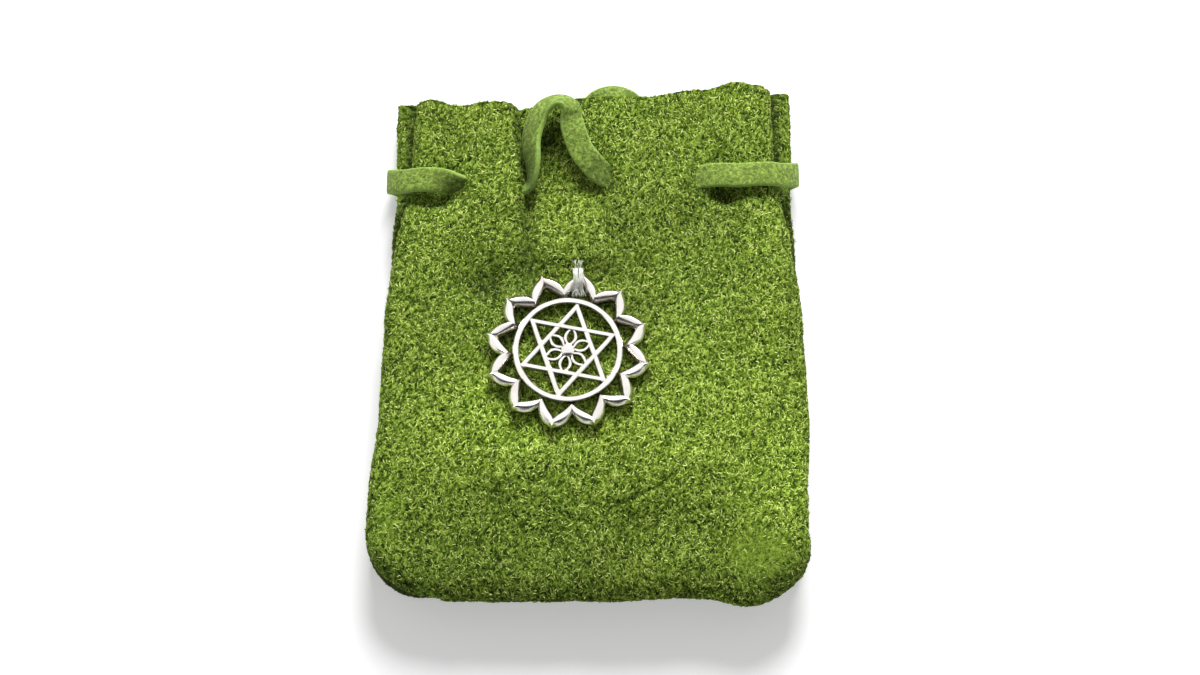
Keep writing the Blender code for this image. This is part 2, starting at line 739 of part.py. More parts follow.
def petal_radii(share):
    """Radii of the inner wall, of the ridge and of the outer foot."""
    shares, *contours = zip(*PETAL_CONTOURS)
    return [PETAL_TIP_RADIUS * np.interp(share, shares, contour) for contour in contours]


def petal_ring_mesh():
    """The ring of pointed petals, with an inner wall, a sloping face, a ridge and an outer bevel."""
    points, faces = [], []
    for half_petal in range(2 * PETALS):
        for step in range(PETAL_STEPS):
            share = step / PETAL_STEPS if half_petal % 2 == 0 else 1 - step / PETAL_STEPS
            angle = petal_angle(half_petal, share)
            inner, ridge, outer = petal_radii(share)
            section = (
                (inner, 0.0),
                (inner, PETAL_INNER_WALL),
                (ridge, PETAL_HEIGHT),
                (outer, PETAL_OUTER_WALL),
                (outer, 0.0),
            )
            points += [(r * math.cos(angle), r * math.sin(angle), z) for r, z in section]
    count, size = 2 * PETALS * PETAL_STEPS, len(section)
    for k in range(count):
        here, there = size * k, size * ((k + 1) % count)
        for c in range(size):
            d = (c + 1) % size
            faces.append((here + c, here + d, there + d, there + c))
    return mesh_from("lotus_charm", points, faces)


def leaf_path(petals, valley_radius, tip_radius, steps):
    """A small ring of petals whose arms leave the valley sideways and end in pointed tips."""
    half = math.pi / petals
    length = tip_radius - valley_radius
    controls = (
        (valley_radius, 0.0),
        (valley_radius + 0.32 * length, 0.43 * half),
        (valley_radius + 0.51 * length, 0.81 * half),
        (tip_radius, half),
    )
    arm = []
    for k in range(steps):
        t = k / steps
        weights = ((1 - t) ** 3, 3 * t * (1 - t) ** 2, 3 * t**2 * (1 - t), t**3)
        arm.append(tuple(sum(w * c[n] for w, c in zip(weights, controls)) for n in (0, 1)))
    outline = arm + [(tip_radius, half)] + [(r, 2 * half - a) for r, a in reversed(arm[1:])]
    path = []
    for petal in range(petals):
        start = math.pi / 2 - half + 2 * half * petal
        path += [np.array((r * math.cos(start + a), r * math.sin(start + a))) for r, a in outline]
    return path


def polygon_path(corners, radius, first_angle):
    angles = [first_angle + 2 * math.pi * k / corners for k in range(corners)]
    return [radius * np.array((math.cos(a), math.sin(a))) for a in angles]


def boss_mesh(name):
    """A low dome on a straight foot, turned about the charm's middle."""
    steps, rings = 12, 3
    profile = [(BOSS_RADIUS, 4 * FOOT), (BOSS_RADIUS, BOSS_HEIGHT / 2)]
    for k in range(1, rings):
        angle = math.pi / 2 * k / rings
        rise = BOSS_HEIGHT / 2 * (1 + math.sin(angle))
        profile.append((BOSS_RADIUS * math.cos(angle), rise))
    points, faces = [], []
    for radius, z in profile:
        for k in range(steps):
            angle = 2 * math.pi * k / steps
            points.append((radius * math.cos(angle), radius * math.sin(angle), z))
    for ring in range(len(profile) - 1):
        for k in range(steps):
            here, there = ring * steps, (ring + 1) * steps
            after = (k + 1) % steps
            faces.append((here + k, here + after, there + after, there + k))
    top = len(points)
    points.append((0.0, 0.0, BOSS_HEIGHT))
    last = (len(profile) - 1) * steps
    faces += [(last + k, last + (k + 1) % steps, top) for k in range(steps)]
    faces.append(tuple(range(steps)))
    return mesh_from(name, points, faces)


def charm_height():
    """Level of the charm's underside, just clear of the crown that it lies on."""
    return FRONT_EDGE_HEIGHT + BODY_CROWN + CLEARANCE


def on_charm(radius, angle):
    """A point of the charm where it lies on the pouch."""
    return (CHARM_X + radius * math.cos(angle + CHARM_TURN), CHARM_Y + radius * math.sin(angle + CHARM_TURN))


def sewn_spot():
    """The middle of the top petal's left arm, beside its tip, that the thread goes round."""
    inner, _, outer = petal_radii(SEWN_SHARE)
    x, y = on_charm((inner + outer) / 2, petal_angle(0, SEWN_SHARE))
    return (x, y, charm_height() + PETAL_HEIGHT / 2)


def thread_reach():
    """How far the turns of thread stand from the sewn spot, so that the arm swings inside them."""
    spot_x, spot_y, _ = sewn_spot()
    beside = (CHARM_THREAD_PITCH * CHARM_THREAD_TURNS + CHARM_THREAD) / 2 + CLEARANCE
    swing = 0.0
    for half_petal in (0, 1):
        for share in np.linspace(0.0, 1.0, SWING_SAMPLES):
            for radius in petal_radii(share):
                x, y = on_charm(radius, petal_angle(half_petal, share))
                if abs(x - spot_x) < beside:
                    swing = max(swing, math.hypot(y - spot_y, PETAL_HEIGHT / 2))
    return swing + CLEARANCE + CHARM_THREAD_SLACK + CHARM_THREAD / 2


def build_charm(look):
    charm = add_object("lotus_charm", petal_ring_mesh(), look)

    ring_section = ridged_section(
        RING_WIDTH, RING_WIDTH * FLAT_SHARE, RING_HEIGHT * WALL_SHARE, RING_HEIGHT, FOOT
    )
    star_section = ridged_section(
        STAR_BAR_WIDTH, STAR_BAR_WIDTH * FLAT_SHARE, STAR_HEIGHT * WALL_SHARE, STAR_HEIGHT, 2 * FOOT
    )
    low_star = [(offset, z + FOOT / 2) for offset, z in star_section]
    rosette_section = ridged_section(
        ROSETTE_ARM_WIDTH,
        ROSETTE_ARM_WIDTH * FLAT_SHARE,
        ROSETTE_HEIGHT * WALL_SHARE,
        ROSETTE_HEIGHT,
        3 * FOOT,
    )
    rosette = leaf_path(ROSETTE_PETALS, ROSETTE_VALLEY_RADIUS, ROSETTE_TIP_RADIUS, ROSETTE_ARM_STEPS)
    shapes = (
        mitred_sweep("charm_ring", polygon_path(RING_STEPS, RING_RADIUS, 0.01), ring_section),
        mitred_sweep("charm_star_up", polygon_path(3, STAR_RADIUS, math.pi / 2), star_section),
        mitred_sweep("charm_star_down", polygon_path(3, STAR_RADIUS, -math.pi / 2), low_star),
        mitred_sweep("charm_rosette", rosette, rosette_section),
        boss_mesh("charm_boss"),
    )
    pieces = [charm]
    for mesh in shapes:
        piece = bpy.data.objects.new(mesh.name, mesh)
        bpy.context.scene.collection.objects.link(piece)
        combine(charm, piece, "UNION")
        pieces.append(piece)
    for piece in pieces:
        piece.location = (CHARM_X, CHARM_Y, charm_height())
        piece.rotation_euler = (0, 0, CHARM_TURN)
    return charm


def cut_charm_needle_holes(panel, spot, bottom, top):
    """Two short slots that the charm's thread passes through."""
    half_x = CHARM_THREAD_PITCH * CHARM_THREAD_TURNS / 2 + CHARM_THREAD / 2 + CLEARANCE
    half_y = CHARM_THREAD / 2 + CLEARANCE
    for name, side in (("upper", 1), ("lower", -1)):
        y = spot[1] + side * thread_reach()
        built = bmesh.new()
        bmesh.ops.create_cube(built, size=1.0)
        bmesh.ops.scale(built, vec=(2 * half_x, 2 * half_y, top - bottom), verts=built.verts)
        bmesh.ops.translate(built, vec=(spot[0], y, (top + bottom) / 2), verts=built.verts)
        mesh = bpy.data.meshes.new(f"needle_hole_{name}")
        built.to_mesh(mesh)
        built.free()
        cutter = bpy.data.objects.new(mesh.name, mesh)
        bpy.context.scene.collection.objects.link(cutter)
        combine(panel, cutter, "DIFFERENCE")


def main():
    clear_scene()
    suede = material("suede", (0.16, 0.30, 0.035), 0.95)
    lace_look = material("lace", (0.22, 0.40, 0.07), 0.75)
    thread_look = material("seam_thread", (0.12, 0.24, 0.03), 0.8)
    nylon = material("charm_thread", (0.75, 0.76, 0.74), 0.4)
    silver = material("silver", (0.86, 0.83, 0.80), 0.2, 1.0)

    front = Panel("front_panel", 1, front_height, front_mouth_rise, front_lobe)
    back = Panel("back_panel", -1, back_height, back_mouth_rise, back_lobe)
    front_panel = add_object("front_panel", front.mesh(), suede)
    back_panel = add_object("back_panel", back.mesh(), suede)

    line = lace_line()
    lace = strip_mesh("drawstring", line, LACE_WIDTH, LACE_THICKNESS, closed=True)
    add_object("drawstring", lace, lace_look)
    cut_slots(front_panel, line, FRONT_SLOTS, behind=False)
    cut_slots(back_panel, line, BACK_SLOTS, behind=True)

    tube("seam_thread", seam_thread_points(front.holes), SEAM_THREAD, thread_look)

    build_charm(silver)
    spot = sewn_spot()
    over = spot[2] + thread_reach()
    crossed = [front_height(spot[0], spot[1] + thread_reach() * share / 4) for share in range(-4, 5)]
    under = min(crossed) - LEATHER - CLEARANCE - CHARM_THREAD
    tube("charm_thread", charm_thread_points(spot, over, under), CHARM_THREAD, nylon, sides=6)
    cut_charm_needle_holes(front_panel, spot, under - LEATHER, over)


main()
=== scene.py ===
"""A suede drawstring pouch with a silver charm sewn to it: its nap, lace, thread and metal."""

import math

import bpy
import bmesh
import numpy as np
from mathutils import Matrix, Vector, noise


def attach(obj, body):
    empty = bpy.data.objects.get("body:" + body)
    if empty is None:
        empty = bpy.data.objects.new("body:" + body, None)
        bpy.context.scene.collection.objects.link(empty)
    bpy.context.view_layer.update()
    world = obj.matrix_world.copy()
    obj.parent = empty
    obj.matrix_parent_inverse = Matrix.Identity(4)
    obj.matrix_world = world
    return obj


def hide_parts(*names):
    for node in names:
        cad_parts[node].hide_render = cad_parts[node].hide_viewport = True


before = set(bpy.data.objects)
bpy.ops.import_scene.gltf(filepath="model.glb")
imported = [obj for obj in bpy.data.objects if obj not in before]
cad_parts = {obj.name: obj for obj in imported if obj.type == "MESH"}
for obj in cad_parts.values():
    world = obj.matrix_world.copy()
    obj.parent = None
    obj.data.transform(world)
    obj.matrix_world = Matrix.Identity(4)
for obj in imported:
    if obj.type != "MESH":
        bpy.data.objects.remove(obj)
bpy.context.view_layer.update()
scene = bpy.context.scene

# Camera
CAMERA_TARGET = Vector((0.0022, 0.00134, 0.0079))
CAMERA_DISTANCE = 0.420
CAMERA_ELEVATION = math.radians(70)
CAMERA_SENSOR = 36
CAMERA_LENS = 69.6

# Studio: the level of the light from everywhere, the floor, and the lamp beyond the mouth
FILL = 0.33
FLOOR_REACH = 3
FLOOR_TONE = 0.8
FLOOR_GLOW = 0.35
LAMP_SIZE = 0.42
LAMP_ENERGY = 10.9
LAMP_PLACE = Vector((0.08, 0.68, 0.56))
# The near end of the room is dim, and shows only in the metal: how bright it is, and where it
# starts and is darkest
DIM = 0.05
DIM_START = -0.36
DIM_END = -0.52

# Suede and seam
LEATHER = 0.0012
SEAM_GAP = 0.0003
SEAM_HEIGHT = 0.0060
ALLOWANCE = 0.0040
LOBE = 0.0026

# Outline, seen from the front
BOTTOM_Y = -0.0457
MOUTH_Y = 0.0465
BOTTOM_HALF_WIDTH = 0.0391
MOUTH_HALF_WIDTH = 0.0372
CORNER_RADIUS = 0.0098
NECK_SHIFT = 0.0010
SHIFT_START_Y = -0.0350
SHIFT_END_Y = -0.0120
NECK_PINCH = 0.0005
NECK_PINCH_REACH = 0.0060
BACK_PEEK = 0.0039
PEEK_START_Y = 0.0020

# Raw edges at the mouth, and the extra roll along the bottom: x and the difference, in millimetres
FRONT_MOUTH = (
    (-29.8, 1.0),
    (-23.5, -1.1),
    (-18.0, -0.8),
    (-12.5, -0.7),
    (2.5, 0.1),
    (10.0, -0.2),
    (21.0, 1.9),
    (28.5, 4.2),
    (31.8, 3.8),
)
BACK_MOUTH = ((-29.8, 2.0), (-20.0, 2.0), (20.0, 2.6), (31.8, 4.2))
# How much the mouth's corners stand above their seams: left and right
FRONT_CORNERS = (-0.0004, -0.0006)
BACK_CORNERS = (0.0010, 0.0012)
BOTTOM_ROLL = (
    (-34.0, 0.0),
    (-27.0, 1.4),
    (-24.0, 2.2),
    (0.0, 2.3),
    (19.0, 1.7),
    (27.0, 3.0),
    (35.0, 1.8),
)

# Heights of the two faces
FRONT_EDGE_HEIGHT = 0.0116
BODY_CROWN = 0.0032
MOUTH_CROWN = 0.0030
CROWN_POWER = 2.4
CROWN_RUN = 0.0240
MOUTH_LIFT = 0.0021
LIFT_START_Y = 0.0080
LIFT_END_Y = 0.0250

# Gathers: middle x and y, lean, reach to the left, right, up and down, height
LACE_Y = 0.0303
GATHERS = (
    (-0.0178, LACE_Y, -0.08, 0.0048, 0.0048, 0.0400, 0.0200, 0.0012),
    (0.0130, LACE_Y, 0.05, 0.0085, 0.0085, 0.0400, 0.0200, 0.0009),
    (-0.0101, LACE_Y, -0.14, 0.0015, 0.0085, 0.0600, 0.0110, -0.0034),
    (-0.0268, 0.0292, 0.0, 0.0030, 0.0030, 0.0048, 0.0060, -0.0019),
    (0.0008, 0.0296, 0.0, 0.0032, 0.0032, 0.0042, 0.0060, -0.0018),
    (0.0250, 0.0300, 0.0, 0.0034, 0.0032, 0.0054, 0.0064, -0.0021),
)
SEWN_SPOT = (-0.00178, 0.00921, 0.01605)
HOLLOW_DEPTH = 0.0019
HOLLOW_OFFSET = (-0.0010, 0.0014)
HOLLOW_REACH = (0.0085, 0.0031)

# Divisions of the panels: the lining has one row or column for every few of the face
LINING_SHARE = 4
COLUMNS = 50 * LINING_SHARE
CORNER_STEPS = 4 * LINING_SHARE
SIDE_ROWS = 60 * LINING_SHARE
LOBE_STEPS = 22
SLOPE_STEP = 0.0004

# Nap of the suede: the surface moves in and out in small clumps and longer waves
NAP_DEPTH = 0.00042
NAP_LEVEL = 0.85
NAP_SIZE = 0.00056
CURL_SIZE = NAP_SIZE * 1.6
WISP_SIZE = NAP_SIZE * 0.45
CLUMP_BEND = 0.9
WISP_BEND = 1.4
CLUMP_SHARE = 0.70
WISP_SHARE = 0.45
WORN_LEVEL = 0.58
WORN_SHARE = 0.26
UNDULATION = 0.00030
UNDULATION_SIZE = 0.0060
UNDULATION_LEVEL = 0.3

# Fibres of the nap: how many, and the length and rise of each layer
FRONT_FIBRES = 94000
FRONT_LAYERS = ((0.00090, 0.00020), (0.00066, 0.00034))
BACK_FIBRES = 38000
BACK_LAYER = (0.00085, 0.00026)
FIBRE_STEPS = 2
FIBRE_SHAPE = (0.8, 1.0, 0.4)
FIBRE_LENGTHS = (0.55, 1.35)
FIBRE_RISES = (0.1, 1.0)
FIBRE_WIDTHS = (0.00013, 0.00022)
FIBRE_ROOT = 0.00006
FIBRE_CURL = 1.1
FIBRE_TILT = 0.5
FIBRE_COMB = (0.0, 0.9, 0.0)
# Fewer grow where the suede is worn, more where it faces up, and short ones near the mouth
FIBRE_THINNING = 0.8
FIBRE_FACING = 1.5
TRIM_REACH = 0.0016
TRIM_LEAST = 0.35
SIDE_TRIM = 0.6

# Grooves of the front, between the gathers and as a fine crease: a line of x, y and depth, and
# the half width, in millimetres
FOLD = (
    (-13.0, 48.0, 0.8),
    (-12.2, 38.0, 1.8),
    (-11.2, 30.0, 1.4),
    (-10.9, 24.5, 1.2),
    (-10.7, 16.5, 1.4),
    (-11.5, 9.0, 0.7),
)
CREASE = (
    (4.4, -33.8, 0.1),
    (5.0, -32.2, 0.4),
    (6.0, -31.3, 0.5),
    (8.4, -30.3, 0.48),
    (12.4, -28.6, 0.5),
    (16.0, -25.7, 0.4),
    (17.8, -23.6, 0.1),
)
GROOVES = ((FOLD, 1.2), (CREASE, 0.45))
# Soft sags and ridges, in millimetres and degrees: middle, half length, half width, height, and
# the direction it runs in
SAGS = (
    (12, -35, 10, 2.8, -0.55, 10),
    (13, -42.5, 9, 2, 0.45, 4),
    (-16, -32.5, 8, 3, -0.5, -48),
    (-21, 18, 9, 2.4, -0.45, 75),
    (18, 16, 11, 3, -0.4, 105),
    (31, -10, 20, 2.5, 0.35, 88),
    (-30, -15, 18, 2.6, 0.3, 92),
    (2, 20.5, 6, 2.6, 0.4, 20),
    (-17.5, 26.5, 8, 5.2, 0.8, 90),
    (-18.5, 10, 7.5, 3.4, -1.4, 25),
    (-21.6, 30, 2.6, 1.6, 0.5, 90),
    (-23.7, 29.8, 2.4, 0.6, -0.9, 90),
    (-12.6, 29.2, 3.4, 1.3, 0.9, 90),
    (5, 18, 9, 3, -0.6, 115),
    (19, 21.5, 9, 3.4, -0.6, 0),
    (6, 30, 2.8, 1.6, 0.5, 90),
    (4, 30.4, 2.7, 0.6, -0.9, 90),
    (18.2, 30, 3, 1.6, 0.55, 90),
    (20.3, 30, 2.7, 0.6, -0.9, 90),
    (26.2, 27.2, 4.2, 1.4, -0.9, 5),
    (-28.8, 26.8, 4, 1.2, -0.7, 0),
)
# Patches where the nap is worn smooth: middle and reach in millimetres, and how much
WORN = (
    (30.0, -40.0, 6.2, 5.0, 0.90),
    (-35.0, -33.5, 2.2, 5.0, 0.70),
    (28.5, -30.0, 5.0, 7.0, 0.35),
)

# Painted light and shade on the front: darker in its creases, hollows and along its bottom, under the lace
# and beside the charm, and lighter where more light falls; middle and reach in millimetres, and change
PAINTED_LIGHT_AND_SHADE = (
    (-17.7, 9.4, 5.2, 3.8, -0.36),
    (-10.8, 13, 2.2, 7.5, -0.30),
    (-12.9, 42, 1, 4.6, -0.42),
    (-12.2, 33.5, 1, 4.6, -0.42),
    (-10.8, 25, 1, 4.2, -0.46),
    (-10.9, 17.5, 1, 4.2, -0.32),
    (-7.2, 39.6, 1.7, 4.4, -0.55),
    (0.2, 32.2, 2.4, 1.5, -0.36),
    (3, 28.7, 2.2, 1, -0.60),
    (25, 28, 4.6, 1.3, -0.60),
    (-28.2, 27.1, 4.2, 1.3, -0.50),
    (-17.5, 8.8, 3.2, 3, -0.24),
    (18, -1, 5, 5, 0.14),
    (0.2, -29, 6, 2.4, 0.14),
    (-10, -16.5, 6, 3, 0.13),
    (-19, -11.2, 3.2, 3, 0.16),
    (2.5, 12.6, 3.6, 2.2, -0.26),
    (-7.6, 12.2, 3, 2, -0.20),
    (-16.5, -12.5, 3.6, 3, 0.22),
    (26, -17, 16, 10, 0.05),
    (37, 8, 2.2, 12, -0.14),
    (36.5, -26, 5.6, 10, 0.20),
    (-23, -31.5, 8, 3, -0.10),
    (5, 42.4, 3, 6, 0.12),
    (27, 47, 5, 2.2, 0.18),
    (-35.5, 24, 2, 6, 0.18),
    (25, 22, 4, 5, -0.12),
    (4.5, 22, 2.2, 3, -0.10),
    (5.5, 17, 4.5, 10, -0.14),
    (18.6, 21, 9, 4.5, -0.16),
    (9.6, 5.1, 3, 5, -0.22),
    (-24, 27, 7, 7, 0.14),
    (-18.5, -15, 12, 8, 0.13),
    (-12, -19.5, 8, 5, 0.14),
    (20, -12, 15, 12, 0.10),
    (2, -20, 60, 13, 0.19),
    (32.5, 8, 3.4, 15, 0.14),
    (34, -31, 6, 6, 0.16),
    (0, -44.4, 60, 7.6, -0.21),
    (-27, -43, 13, 7, -0.12),
    (34, -45, 6, 4.5, -0.24),
    (3, -41.5, 6, 3.5, -0.12),
    (-16, -30, 12, 3, -0.10),
)
# Painted shade in a band round the charm, under and between its petals: radius, half width and change
PAINTED_CHARM_SHADE = (0.0113, 0.0019, -0.34)
# Painted shade on the back in the crevice where the front's edge lies over it: reach beyond that edge and
# change
PAINTED_CREVICE_SHADE = (0.0017, -0.78)

# The same clumps of nap come out of every run
NOISE_SEED = 3
FRONT_SEED = 1
BACK_SEED = 2
BACK_NAP_SEED = 3

# Thread of the charm: its strands in millimetres, then sizes in metres
THREAD_SEED = 7
THREAD_STRANDS = 34
THREAD_STEPS = 12
THREAD_SIDES = 4
THREAD_SPREAD = 0.85
THREAD_WOBBLE = 0.10
THREAD_REACHES = (2.30, 2.55)
THREAD_RADIUS = 0.000045
THREAD_ARCH = 0.00215
THREAD_DEPTH = 0.0026
FRAYED_LEAN = 0.35
FRAYED_STEP = 0.00045
FRAYED_SIDE_STEP = 0.0005
FRAYED_RISE = 0.0008

# Lace
LACE_WIDTH = 0.0046
LACE_THICKNESS = 0.0012
LACE_STEP = 0.0004
LACE_EDGE = 0.9
LACE_SIDES = 16
LACE_ROUNDING = (0.35, 0.5)
KNOT_STEPS = 12
# Painted shade on the lace at the front, where it dips into its slots, lies in the crease and passes
# under its own arch: middle and reach in millimetres, and change
LACE_PAINTED_SHADE = (
    (3.6, 30.8, 2.0, 2.2, -0.45),
    (0.8, 32.2, 1.6, 3.0, -0.20),
    (-11.4, 36.5, 1.6, 6.2, -0.34),
    (-10.4, 29.0, 1.2, 3.0, -0.40),
    (-5.2, 41.2, 1.6, 1.4, -0.35),
    (-24.0, 28.4, 3.0, 1.6, -0.50),
    (21.2, 30.0, 1.2, 3.0, -0.25),
)

# Charm
CHARM_X = -0.0035
CHARM_Y = -0.0040
CHARM_Z = 0.0151
CHARM_TURN = math.radians(-11)
SHARP_ANGLE = math.radians(28)

# Contours of a petal from its valley to its tip: share of the way round, then the radius of
# the inner foot, of the ridge and of the outer foot, in millimetres
PETALS = 12
PETAL_CONTOURS = (
    (0.00, 9.80, 10.80, 11.85),
    (0.07, 9.88, 11.25, 12.42),
    (0.20, 10.12, 11.78, 13.02),
    (0.35, 10.52, 12.24, 13.48),
    (0.50, 10.95, 12.64, 13.85),
    (0.65, 11.38, 13.02, 14.15),
    (0.80, 11.84, 13.38, 14.38),
    (0.90, 12.18, 13.66, 14.60),
    (0.96, 12.40, 14.02, 14.94),
    (1.00, 12.52, 14.55, 15.38),
)
PETAL_STEPS = 16
# Across a petal's arm: share of the way from the inner foot to the ridge (0 to 1) and on to
# the outer foot (1 to 2), and height in millimetres
PETAL_SECTION = (
    (0.0, 0.0), (0.0, 0.68), (0.05, 0.78), (0.38, 1.52), (0.45, 1.61), (0.70, 1.75), (0.95, 1.85),
    (1.05, 1.85), (1.25, 1.78), (1.42, 1.66), (1.50, 1.57), (1.94, 0.98), (2.0, 0.86), (2.0, 0.0),
)
RING_RADIUS = 0.00925
RING_STEPS = 144
STAR_RADIUS = 0.00842
STAR_STEP = 0.00004
# Bars: width, top and base. Their upper edges are bevelled by a share of the width, up to a most
RING_BAR = (0.00098, 0.00150, 0.0001)
STAR_BAR = (0.00086, 0.00120, 0.0002)
LEAF_BAR = (0.00056, 0.00110, 0.0003)
BAR_BEVEL_SHARE = 0.16
BAR_BEVEL = 0.00014
# Leaves of the rosette, and the boss in its middle
LEAVES = 6
LEAF_STEPS = 8
LEAF_ROOT = 0.0010
LEAF_LENGTH = 0.0031
LEAF_BOW = 0.00092
BOSS_RADIUS = 0.0013
BOSS_TOP = 0.0017
BOSS_BASE = 0.0004
BOSS_SHOULDER = 0.35
BOSS_STEPS = 32
BOSS_RINGS = 9
# The lower walls are dark with tarnish: where it ends, and how it fades
TARNISH_TOP = 0.0011
TARNISH_REACH = 0.0006

# The lace's route in millimetres: a place, and where it isn't straight up the pouch, the
# direction that the lace's width points in
UP_THE_POUCH = (0.0, 1.0, 0.0)
LACE_ROUTE = (
    (-31.9, 30.3, 12.7),
    (-29.6, 30.2, 13.2, 0, 1, 0.12),
    (-26.8, 30, 13.1, 0, 0.92, 0.38),
    (-24.4, 29.5, 12.6, 0, 0.62, 0.78),
    (-22.4, 29.3, 11.8, 0, 0.5, 0.87),
    (-20.2, 29.6, 11.7, 0, 0.8, 0.6),
    (-17.5, 29.8, 11.9, 0, 1, 0.2),
    (-14.2, 29.5, 11.7, 0, 0.97, -0.1),
    (-12.2, 29.1, 11.5, 0, 0.8, -0.5),
    (-10.8, 29.2, 12.2, -0.15, 0.45, -0.85),
    (-10.2, 30.8, 13.4, -0.32, 0.3, -0.88),
    (-10.1, 33.4, 14.5, -0.5, 0.1, -0.84),
    (-10.4, 37, 15, -0.68, 0, -0.73),
    (-9.7, 40.6, 15.6, -0.76, 0.16, -0.62),
    (-8.3, 43.1, 16.3, -0.58, 0.48, -0.66),
    (-6.2, 44.3, 16.9, -0.22, 0.66, -0.72),
    (-4.2, 44.1, 17.2, 0.2, 0.68, -0.7),
    (-3, 42.8, 17, 0.56, 0.56, -0.6),
    (-3, 41, 16.5, 0.8, 0.46, -0.38),
    (-2.6, 38.6, 16.2, 0.88, 0.45, -0.12),
    (-1.3, 35.3, 15.4, 0.85, 0.5, 0.05),
    (0.2, 33.2, 15.1, 0.75, 0.65, 0.16),
    (2.2, 31.4, 14, 0.4, 0.9, 0.1),
    (4.6, 30.5, 12.5, 0.1, 1, 0),
    (8, 30, 12),
    (11.5, 29.9, 12),
    (15, 29.9, 12),
    (18.5, 30.4, 12.3),
    (21.5, 30.9, 13.1),
    (24.5, 31.1, 13.4),
    (27.5, 31.1, 13),
    (30.6, 31.4, 13),
    (33.4, 31.6, 12.7),
    (36, 32, 11.1),
    (38.1, 33.2, 8.4),
    (38.8, 34.6, 5.2),
    (38.1, 35.3, 2.4),
    (35.9, 34.6, 1),
    (32, 32.6, 0.9),
    (28.5, 31, 0.9),
    (25.8, 30.3, 1.2),
    (24.2, 30.2, 2.6),
    (22.6, 30.2, 4),
    (19.8, 30.2, 4.2),
    (16.6, 30.2, 4.2),
    (14, 30.2, 4),
    (12.4, 30.3, 2.6),
    (10.7, 30.6, 1.2, 0.2, 0.95, 0),
    (8.4, 31.8, 0.9, 0.45, 0.9, 0),
    (7.2, 34.4, 0.9, 0.9, 0.4, 0),
    (7.4, 38, 0.9, 1, 0.1, 0),
    (8, 41.8, 0.9, 1, 0.2, 0),
    (8.5, 45.4, 0.9, 1, 0.1, 0),
    (8.8, 48.4, 1.1, 1, 0.05, 0.1),
    (8.5, 50, 2.2, 0.88, 0.42, 0.1),
    (7, 51.1, 3.4, 0.5, 0.84, -0.1),
    (4.6, 51.6, 4, 0, 0.97, -0.24),
    (2.2, 51, 3.4, -0.52, 0.82, -0.1),
    (0.8, 49.8, 2.2, -0.88, 0.42, 0.1),
    (0.2, 48.2, 1.1, -1, 0.05, 0.1),
    (-0.2, 44.6, 0.9, -1, 0.05, 0),
    (-0.8, 40.6, 0.9, -1, 0.05, 0),
    (-1.3, 36.6, 0.9, -1, 0.2, 0),
    (-2.2, 33.4, 0.9, -0.85, 0.55, 0),
    (-4.4, 31.2, 1.1, -0.25, 0.97, 0),
    (-6.2, 30.5, 2.4),
    (-7.8, 30.3, 4),
    (-10.6, 30.2, 4.2),
    (-14.2, 30.2, 4.2),
    (-17.8, 30.2, 4.2),
    (-20.9, 30.2, 4),
    (-22.6, 30.2, 2.6),
    (-24.2, 30.2, 1.2),
    (-27.2, 30.2, 0.9),
    (-31, 31.6, 0.9),
    (-34.2, 33.4, 1),
    (-36.2, 34, 2.5),
    (-36.95, 33.2, 5.2),
    (-36.4, 31.8, 8.4),
    (-34.4, 30.6, 11.2),
)


# Shape of the pouch


def smooth(low, high, value):
    t = np.clip((value - low) / (high - low), 0.0, 1.0)
    return t * t * (3 - 2 * t)


def bell(offset, before, after):
    return np.exp(-((offset / np.where(offset < 0, before, after)) ** 2))


def along_points(points, x):
    """A smooth line through a few (x, value) points, level beyond the first and the last."""
    points = np.array(points) / 1000
    value = np.full_like(x, points[0][1])
    for (low_x, low), (high_x, high) in zip(points, points[1:]):
        value += (high - low) * smooth(low_x, high_x, x)
    return value


def silhouette(y):
    half = BOTTOM_HALF_WIDTH + (MOUTH_HALF_WIDTH - BOTTOM_HALF_WIDTH) * smooth(BOTTOM_Y, MOUTH_Y, y)
    return half - NECK_PINCH * bell(y - LACE_Y, NECK_PINCH_REACH, NECK_PINCH_REACH)


def middle(y):
    return NECK_SHIFT * smooth(SHIFT_START_Y, SHIFT_END_Y, y)


def back_peek(y):
    return BACK_PEEK * smooth(PEEK_START_Y, MOUTH_Y, y)


def seam_half_width(y):
    return silhouette(y) - LOBE - back_peek(y)


def front_height(x, y):
    crown = BODY_CROWN + (MOUTH_CROWN - BODY_CROWN) * smooth(0.0, MOUTH_Y, y)
    crown = crown * smooth(BOTTOM_Y + LOBE, BOTTOM_Y + CROWN_RUN, y)
    share = np.minimum(1.0, np.abs(x - middle(y)) / seam_half_width(y))
    height = FRONT_EDGE_HEIGHT + crown * (1 - share**CROWN_POWER)
    for middle_x, middle_y, lean, left, right, up, down, rise in GATHERS:
        leant_x = middle_x + lean * np.maximum(0.0, y - middle_y)
        height = height + rise * bell(x - leant_x, left, right) * bell(y - middle_y, down, up)
    across = (x - SEWN_SPOT[0] - HOLLOW_OFFSET[0]) / HOLLOW_REACH[0]
    along = (y - SEWN_SPOT[1] - HOLLOW_OFFSET[1]) / HOLLOW_REACH[1]
    height = height - HOLLOW_DEPTH * np.exp(-across * across - along * along)
    for *lengths, degrees in SAGS:
        middle_x, middle_y, half_length, half_width, rise = np.array(lengths) / 1000
        cos, sin = math.cos(math.radians(degrees)), math.sin(math.radians(degrees))
        run = ((x - middle_x) * cos + (y - middle_y) * sin) / half_length
        aside = ((y - middle_y) * cos - (x - middle_x) * sin) / half_width
        height = height + rise * np.exp(-run * run - aside * aside)
    return height - groove_depth(x, y)


